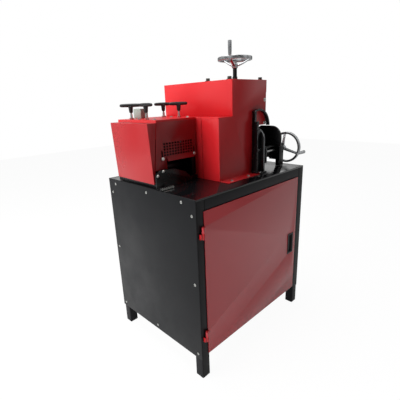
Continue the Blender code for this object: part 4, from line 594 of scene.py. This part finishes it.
# Black enamel on castings: semi-gloss over a lumpy skin
casting_black = finish("black_enamel_on_iron", "#070708", "#0d0d0f", 60, (0.18, 0.32), 5.0, 0.06,
                       Specular_IOR_Level=0.3)
for node, name, material, slot in (
        ("roller_plate_left", "left_roller_plate", casting_black, "black_frame"),
        ("roller_plate_right", "right_roller_plate", casting_black, "black_frame"),
        ("feed_roller", "driven_feed_roller", ground_steel, "steel"),
        ("pressure_yoke", "pressed_yoke", ground_steel, "steel"),
        ("blade_roller", "cutting_roller", ground_steel, "steel")):
    stands_for(softened(node, name, material, 0.5 * MM), node)


# The pressure screw and its bush, and the chromed handwheels with their crank handles.
# Chrome plate on iron: a satin gloss over the slight waviness of a polished casting
chrome = finish("polished_chrome_plate", "#9fa1a3", "#b0b2b4", 20, (0.26, 0.3), 9.0, 0.004, Metallic=1.0)
stands_for(softened("pressure_screw", "pressure_screw_shank", casting_black, 0.5 * MM),
           "pressure_screw")
stands_for(softened("screw_bush", "flanged_bush", casting_black, 0.5 * MM), "screw_bush")


def ringed(shape, rings):
    """Skins a closed row of rings of points, the first and last closed by a face."""
    rows = [[shape.verts.new(point) for point in ring] for ring in rings]
    for a, b in zip(rows, rows[1:]):
        for i in range(len(a)):
            j = (i + 1) % len(a)
            shape.faces.new((a[i], a[j], b[j], b[i]))
    shape.faces.new(rows[0])
    shape.faces.new(rows[-1])


def lathe(shape, profile, place, sides=32):
    """Adds a turned form: (radius, height) pairs from its low end to its high end, then placed."""
    ringed(shape, [[place @ Vector((radius * math.cos(math.tau * i / sides),
                                    radius * math.sin(math.tau * i / sides), height)) for i in range(sides)]
                   for radius, height in profile])


def hoop(shape, outline, place, sides=96):
    """Adds a ring: a closed outline of (radius, height) pairs turned about the axis, then placed."""
    rows = [[shape.verts.new(place @ Vector((radius * math.cos(math.tau * i / sides),
                                             radius * math.sin(math.tau * i / sides), height)))
             for radius, height in outline] for i in range(sides)]
    for a, b in zip(rows, rows[1:] + rows[:1]):
        for i in range(len(outline)):
            j = (i + 1) % len(outline)
            shape.faces.new((a[i], a[j], b[j], b[i]))


def metres(*pairs):
    """Pairs of lengths given in millimetres."""
    return [(radius * MM, height * MM) for radius, height in pairs]


def squared(value):
    """A sine or cosine pushed outward, which squares up a round section."""
    return math.copysign(abs(value) ** RIM_SQUARENESS, value)


RIM_MIDDLE, RIM_HALF_WIDTH, RIM_HALF_HEIGHT, RIM_SQUARENESS = 69.5 * MM, 5.5 * MM, 7.5 * MM, 0.42
DISH = 38 * MM
HUB = metres((9, -38), (12.2, -37.4), (13, -36), (13, -25), (12, -20), (10.6, -18.4), (9.4, -18))
CRANK_PIN = metres((3.6, 5), (3.6, 50), (3.2, 51))
CRANK_NUT = metres((4, -13.5), (5.6, -12.6), (5.6, -8), (5.6, -5))
SLEEVE_END = 64.8 * MM
SLEEVE = metres((4.4, 7.9), (5.6, 8), (6.4, 9), (6.9, 12), (7.8, 26), (8, 40))
ALONG_X = Matrix(((0, 0, 1, 0), (1, 0, 0, 0), (0, 1, 0, 0), (0, 0, 0, 1)))
for side, handle_angle in (("top", 202), ("side", 203)):
    low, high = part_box(f"{side}_handwheel")
    middle = (low + high) / 2
    if side == "top":
        place = Matrix.Translation((middle.x, middle.y, low.z + DISH))
    else:
        place = Matrix.Translation((low.x + DISH, middle.y, middle.z)) @ ALONG_X
    shape = bmesh.new()
    hoop(shape, [(RIM_MIDDLE + RIM_HALF_WIDTH * squared(math.cos(math.tau * i / 28)),
                  RIM_HALF_HEIGHT * squared(math.sin(math.tau * i / 28))) for i in range(28)], place)
    lathe(shape, HUB, place, 48)
    for spoke in range(3):
        angle = math.radians(handle_angle) + spoke * math.tau / 3
        outward = Vector((math.cos(angle), math.sin(angle), 0))
        sideways = Vector((-math.sin(angle), math.cos(angle), 0))
        rings = []
        for i in range(15):
            t = i / 14
            centre = outward * (5 + 61 * t) * MM + Vector((0, 0, (-28.5 + 27 * t ** 1.35) * MM))
            wide, thick = (8.5 - 3.5 * t + 2.2 * t ** 6) * MM, (5.2 - 1.8 * t) * MM
            rings.append([place @ (centre + sideways * wide * math.cos(math.tau * k / 20)
                                   + Vector((0, 0, 1)) * thick * math.sin(math.tau * k / 20))
                          for k in range(20)])
        ringed(shape, rings)
    angle = math.radians(handle_angle)
    seat = place @ Matrix.Translation(Vector((math.cos(angle), math.sin(angle), 0)) * RIM_MIDDLE)
    lathe(shape, CRANK_PIN, seat, 16)
    lathe(shape, CRANK_NUT, seat, 6)
    stands_for(settled(f"{side}_wheel_casting", shape, chrome, 40), f"{side}_handwheel")
    shape = bmesh.new()
    lathe(shape, SLEEVE + [(8 * MM, SLEEVE_END - 2.4 * MM), (7.4 * MM, SLEEVE_END - 0.8 * MM),
                           (5.8 * MM, SLEEVE_END)], seat, 40)
    stands_for(settled(f"{side}_crank_sleeve", shape, chrome, 30), f"{side}_crank_handle")
    axis = place.to_3x3() @ Vector((0, 0, 1))
    nut_spot = place @ Vector((0, 0, -18 * MM))
    rides_with(on_spots(f"{side}_wheel_nut", ring_nuts, [(tuple(nut_spot), tuple(axis))], Radius=7.2 * MM,
                        Height=5.6 * MM, Bore=3.8 * MM, Seed=9, Material=zinc), f"{side}_handwheel")


# The cable guide beside the covers: a post with an entry hoop, two cheeks, and a slotted table that
# the outer cheek slides on. Black enamelled iron.
# Bare iron where the enamel has worn off the edges: dull silver, scuffed. Its light tone on the bevels is
# also a painted highlight along the castings' edges
worn_edge_and_painted_highlight = finish("bare_iron_edges_and_painted_highlight", "#77797c", "#a5a7aa", 12, (0.3, 0.45), 0.8, 0.02, Metallic=1.0)
post_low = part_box("guide_post")[0]
table_low, table_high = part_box("guide_table")
foot_bolt = [((post_low.x + 6 * MM, post_low.y + 6.5 * MM, deck_high.z + 6.3 * MM), (0, 0, 1))]
table_nuts = [((table_high.x - 4 * MM, table_low.y + 95.5 * MM * share, deck_high.z + 53 * MM), (1, 0, 0))
              for share in (0.25, 0.75)]
for node, name, rounding, spots in (("guide_post", "post_and_hoop", 0.9 * MM, ()),
                                    ("fixed_cheek", "inner_cheek", 1.3 * MM, ()),
                                    ("guide_table", "slotted_table", 0.7 * MM, table_nuts),
                                    ("sliding_cheek", "outer_cheek", 0.7 * MM, ())):
    stands_for(softened(node, name, casting_black, rounding, around(spots, 8 * MM),
                        worn_edge_and_painted_highlight if node != "sliding_cheek" else None), node)
rides_with(on_spots("table_nuts", hex_bolts, table_nuts, Radius=5.4 * MM, Height=3.9 * MM, Seed=12,
                    Material=blackened), "guide_table")
rides_with(on_spots("post_foot_bolt", hex_bolts, foot_bolt, Radius=4.6 * MM, Height=3.6 * MM, Seed=13,
                    Material=zinc), "guide_post")
stands_for(softened("guide_screw", "guide_screw_shank", ground_steel, 0.4 * MM), "guide_screw")


# The small unit: a base with a sloped infeed, bearing plates, a red housing with a wedge cover, and
# the guard with its grille.
base_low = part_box("small_unit_base")[0]
bar_left, bar_front = base_low.x, base_low.y + 2 * MM
nose_left, nose_front, nose_top = bar_left + 5.5 * MM, bar_front + 33 * MM, deck_high.z + 70 * MM
nose_bolts = [((nose_left + 8.3 * MM, nose_front, nose_top - 20.5 * MM), (0, -1, 0)),
              ((nose_left + 36.2 * MM, nose_front, nose_top - 6.8 * MM), (0, -1, 0))]
bushes = [((bar_left + (5 + 10.2 * i) * MM, bar_front, deck_high.z + 6.3 * MM), (0, -1, 0)) for i in range(6)]
stands_for(softened("small_unit_base", "infeed_base", casting_black, 1.0 * MM,
                    around(nose_bolts + bushes, 7.5 * MM)), "small_unit_base")
rides_with(on_spots("infeed_bolts", pan_heads, nose_bolts, Radius=6.4 * MM, Height=3.9 * MM, Seed=2,
                    Material=zinc), "small_unit_base")
rides_with(on_spots("guide_bushes", ring_nuts, bushes, Radius=4.6 * MM, Height=1.9 * MM, Bore=1.6 * MM,
                    Seed=6, Material=zinc), "small_unit_base")

# Steel with a black oxide finish, oiled. The dark tone is also painted shade: the plates, blocks and
# rollers inside look dark through the grille
oxide_and_painted_shade = finish("oiled_oxide_steel_and_painted_shade", "#1d1d1f", "#29292b", 25, (0.35, 0.5), 0.8, 0.015,
                     Metallic=1.0)
for node in ("bearing_plate_left", "bearing_plate_right", "front_roller_carriage", "rear_roller_carriage",
             "lower_front_roller", "lower_rear_roller", "upper_front_roller", "upper_rear_roller"):
    stands_for(softened(node, f"oxide_{node}", oxide_and_painted_shade, 0.5 * MM), node)

# The guard's bolt heads on the plates' front edges stay bright
HEAD_DEPTH = 5.8 * MM
for side in ("left", "right"):
    plate = bpy.data.objects[f"oxide_bearing_plate_{side}"].data
    plate.materials.append(zinc)
    head_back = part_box(f"bearing_plate_{side}")[0].y + HEAD_DEPTH
    for face in plate.polygons:
        face.material_index = 1 if face.center.y < head_back else 0

LID_SPACING = 50.5 * MM
housing_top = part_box("small_housing")[1].z - 6 * MM
plate_xs = [sum(corner.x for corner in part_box(f"bearing_plate_{side}")) / 2 for side in ("left", "right")]
shaft_ys = [sum(corner.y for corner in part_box(f"{end}_roller_carriage")) / 2 for end in ("front", "rear")]
stud_spots = [((x, y, housing_top), (0, 0, 1)) for x in plate_xs for y in shaft_ys]
lid_spots = [((x, shaft_ys[0] + side, housing_top), (0, 0, 1))
             for x in plate_xs for side in (-LID_SPACING, LID_SPACING)]
stands_for(softened("small_housing", "small_unit_housing", red_coat, 0.7 * MM, around(lid_spots, 12 * MM)),
           "small_housing")
rides_with(on_spots("lid_bolts", hex_bolts, lid_spots, Radius=5.6 * MM, Height=4.6 * MM, Seed=11,
                    Material=zinc), "small_housing")
rides_with(on_spots("stud_nuts", ring_nuts, stud_spots, Radius=8.9 * MM, Height=5.8 * MM, Bore=5.6 * MM,
                    Seed=4, Material=zinc), "small_housing")

# The wedge cover gets a darker copy of the red coat: painted shade, for the cover standing less lit than the
# others
wedge_coat_painted_shade = finish("red_powder_coat_painted_darker_on_wedge", "#a31b20", "#b02126", 220, (0.27, 0.3), 1.6, 0.012,
                    Specular_IOR_Level=0.38)
stands_for(softened("side_cover", "wedge_cover", wedge_coat_painted_shade, 0.7 * MM), "side_cover")
# The guard gets the darkest copy of the red coat: painted shade, for the shade the guard stands in under the
# hood
guard_coat_painted_shade = finish("red_powder_coat_painted_darkest_on_guard", "#8b161a", "#971b1f", 220, (0.27, 0.3), 1.6, 0.012,
                    Specular_IOR_Level=0.38)
stands_for(softened("slotted_guard", "grille_guard", guard_coat_painted_shade, 0.5 * MM), "slotted_guard")


# The T-handles: moulded nylon grips, each a domed bar that tapers to its ends over a conical stem, on a
# zinc-plated stud that presses a bearing block down. The studs come up through nuts on the housing.
T_ANGLES = {"front_left": 86, "rear_left": -44, "front_right": -9, "rear_right": -7}
T_HALF_LENGTH, T_BAR_HALF, T_STEM = 43.5 * MM, 7.6 * MM, 28.5 * MM
for corner, degrees in T_ANGLES.items():
    node = f"t_handle_{corner}"
    low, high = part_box(node)
    x, y, bar_z = (low.x + high.x) / 2, (low.y + high.y) / 2, high.z - T_BAR_HALF
    turn = Matrix.Translation((x, y, bar_z)) @ Matrix.Rotation(math.radians(degrees), 4, "Z")
    shape = bmesh.new()
    rings = []
    for i in range(25):
        along = math.sin((i / 24 - 0.5) * math.pi)
        thick = max(T_BAR_HALF * (1 - 0.12 * along * along) * (1 - abs(along) ** 14) ** 0.5, 0.6 * MM)
        ring = [(thick * math.cos(math.tau * k / 20), thick * math.sin(math.tau * k / 20)) for k in range(20)]
        rings.append([turn @ Vector((along * T_HALF_LENGTH, across, up if up > 0 else up * 0.82))
                      for across, up in ring])
    ringed(shape, rings)
    foot = bar_z - T_STEM
    lathe(shape, [(5.2 * MM, foot), (7.4 * MM, foot + 3.6 * MM), (8.2 * MM, foot + 14 * MM),
                  (9.6 * MM, bar_z - 3 * MM), (6 * MM, bar_z)], Matrix.Translation((x, y, 0)), 28)
    stands_for(settled(f"grip_{corner}", shape, nylon, 50), node)
    shape = bmesh.new()
    lathe(shape, [(4.2 * MM, low.z + 0.1 * MM), (4.9 * MM, low.z + 0.9 * MM), (4.9 * MM, foot - 6 * MM),
                  (3.6 * MM, foot - 5.4 * MM), (3.6 * MM, foot + 1 * MM)], Matrix.Translation((x, y, 0)), 24)
    rides_with(settled(f"stud_{corner}", shape, zinc, 40), node)


# The switch box and its two buttons.
# Grey-green hammered enamel
switch_enamel = finish("grey_green_enamel", "#8b948c", "#99a29a", 20, (0.4, 0.5), 2.0, 0.03)
stands_for(softened("switch_box", "switch_case", switch_enamel, 1.2 * MM), "switch_box")
for node, slot, dark, light in (("start_button", "green_plastic", "#167a3c", "#1c8a45"),
                                ("stop_button", "red_plastic", "#b3181c", "#c21f23")):
    cap = finish(f"{slot}_cap", dark, light, 8, (0.25, 0.32), 1.0, 0.01)
    stands_for(softened(node, f"{node}_cap", cap, 0.6 * MM), node)


# The drive in the cabinet: a geared motor, a cross shaft and two chains.
motor_enamel = finish("grey_motor_enamel", "#6f7678", "#7f8688", 40, (0.4, 0.52), 2.5, 0.05)
stands_for(softened("gear_motor", "geared_motor", motor_enamel, 1.5 * MM), "gear_motor")
motor_low, motor_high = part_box("gear_motor")
BARREL_BELOW_TOP, FIN_COUNT, FIN_RING, FIN_LENGTH = 75 * MM, 40, 68 * MM, 76 * MM
barrel_axis = Vector(((motor_low.x + motor_high.x) / 2, 0, motor_high.z - BARREL_BELOW_TOP))

# Cooling fins: thin ribs that stand on the barrel, parallel to its axis
cooling_fins, given = new_tree("cooling_fins", ("Thickness", "Float"), ("Height", "Float"),
                               ("Length", "Float"), ("Material", "Material"))
way = add(cooling_fins, "GeometryNodeInputNamedAttribute", {"Name": "way"}, data_type="FLOAT_VECTOR")
outward = add(cooling_fins, "FunctionNodeAlignRotationToVector", {"Vector": way.outputs[0]}, axis="Z",
              pivot_axis="Y")
rib = add(cooling_fins, "GeometryNodeMeshCube",
          {"Size": vector_of(cooling_fins, given["Thickness"], given["Length"], given["Height"])})
stand_on(cooling_fins, given, given["Geometry"], rib.outputs[0], outward.outputs[0])
spots = []
for i in range(FIN_COUNT):
    outward = Vector((math.sin(math.tau * i / FIN_COUNT), 0, math.cos(math.tau * i / FIN_COUNT)))
    spot = barrel_axis + outward * FIN_RING + Vector((0, motor_high.y - FIN_LENGTH, 0))
    spots.append((tuple(spot), tuple(outward)))
rides_with(on_spots("motor_fins", cooling_fins, spots, Thickness=2.2 * MM, Height=8 * MM, Length=FIN_LENGTH,
                    Material=motor_enamel), "gear_motor")

# The fan cover: a pressed cap over the motor's rear end
shape = bmesh.new()
back = Matrix.Translation(barrel_axis + Vector((0, motor_high.y, 0))) @ Matrix.Rotation(-math.pi / 2, 4, "X")
lathe(shape, metres((66, -36), (73, -35.5), (73.5, -34), (73.5, -9), (71, -3.5), (66, -1), (58, -0.2),
                    (20, -0.1)), back, 56)
rides_with(settled("motor_fan_cover", shape, motor_enamel, 30), "gear_motor")
stands_for(softened("drive_shaft", "oiled_drive_shaft", ground_steel, 0.4 * MM), "drive_shaft")

# Roller chain of 9.5 mm pitch: each link is two side plates with round ends and a roller between them
roller_chain, given = new_tree("roller_chain", ("Links", "Int"), ("Pitch", "Float"), ("Width", "Float"),
                               ("Material", "Material"))
loop = add(roller_chain, "GeometryNodeMeshToCurve", {"Mesh": given["Geometry"]})
stops = add(roller_chain, "GeometryNodeCurveToPoints", {"Curve": loop.outputs[0], "Count": given["Links"]})
along = add(roller_chain, "FunctionNodeAlignRotationToVector", {"Vector": stops.outputs["Tangent"]}, axis="Z")
faced = add(roller_chain, "FunctionNodeAlignRotationToVector",
            {"Rotation": along.outputs[0], "Vector": (1, 0, 0)}, axis="X", pivot_axis="Z")
half_width = times(roller_chain, given["Width"], 0.42)
joined = add(roller_chain, "GeometryNodeJoinGeometry")
for side in (-1, 1):
    offset = times(roller_chain, half_width, side)
    bar = add(roller_chain, "GeometryNodeMeshCube",
              {"Size": vector_of(roller_chain, 1.2 * MM, 5.4 * MM, given["Pitch"])})
    moved = add(roller_chain, "GeometryNodeTransform",
                {"Geometry": bar.outputs[0], "Translation": vector_of(roller_chain, offset)})
    roller_chain.links.new(moved.outputs[0], joined.inputs[0])
    for end in (-0.5, 0.5):
        disc = add(roller_chain, "GeometryNodeMeshCylinder",
                   {"Vertices": 20, "Radius": 2.8 * MM, "Depth": 1.3 * MM})
        moved = add(roller_chain, "GeometryNodeTransform",
                    {"Geometry": disc.outputs[0], "Rotation": (0, math.pi / 2, 0),
                     "Translation": vector_of(roller_chain, offset, 0.0,
                                              times(roller_chain, given["Pitch"], end))})
        roller_chain.links.new(moved.outputs[0], joined.inputs[0])
barrel = add(roller_chain, "GeometryNodeMeshCylinder",
             {"Vertices": 24, "Radius": 2.4 * MM, "Depth": given["Width"]})
moved = add(roller_chain, "GeometryNodeTransform",
            {"Geometry": barrel.outputs[0], "Rotation": (0, math.pi / 2, 0),
             "Translation": vector_of(roller_chain, 0.0, 0.0, times(roller_chain, given["Pitch"], 0.5))})
roller_chain.links.new(moved.outputs[0], joined.inputs[0])
stand_on(roller_chain, given, stops.outputs["Points"], joined.outputs[0], faced.outputs[0])

# Oiled chain steel: dark, in uneven patches
chain_steel = finish("oiled_chain_steel", "#4d4a46", "#7b7873", 6, (0.25, 0.42), 0.6, 0.02, Metallic=1.0)
shaft_low, shaft_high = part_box("drive_shaft")
LOOP_RADIUS, PITCH, BEND_STEPS = 23.5 * MM, 9.5 * MM, 16
for node, driven in (("small_drive_chain", "lower_rear_roller"), ("large_drive_chain", "feed_roller")):
    low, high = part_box(node)
    x = (low.x + high.x) / 2
    far_low, far_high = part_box(driven)
    ends = [Vector((x, (a.y + b.y) / 2, (a.z + b.z) / 2))
            for a, b in ((shaft_low, shaft_high), (far_low, far_high))]
    lean = math.atan2(ends[1].z - ends[0].z, ends[1].y - ends[0].y)
    points = []
    for middle, start in ((ends[1], lean - math.pi / 2), (ends[0], lean + math.pi / 2)):
        turns = [start + i * math.pi / BEND_STEPS for i in range(BEND_STEPS + 1)]
        points += [middle + LOOP_RADIUS * Vector((0, math.cos(turn), math.sin(turn))) for turn in turns]
    path = bpy.data.meshes.new(f"{node}_path")
    steps = [(i, (i + 1) % len(points)) for i in range(len(points))]
    path.from_pydata([tuple(point) for point in points], steps, [])
    links = round(((ends[1] - ends[0]).length * 2 + math.tau * LOOP_RADIUS) / PITCH)
    stands_for(grown(f"{node}_links", roller_chain, path, Links=links, Pitch=PITCH, Width=7.4 * MM,
                     Material=chain_steel), node)
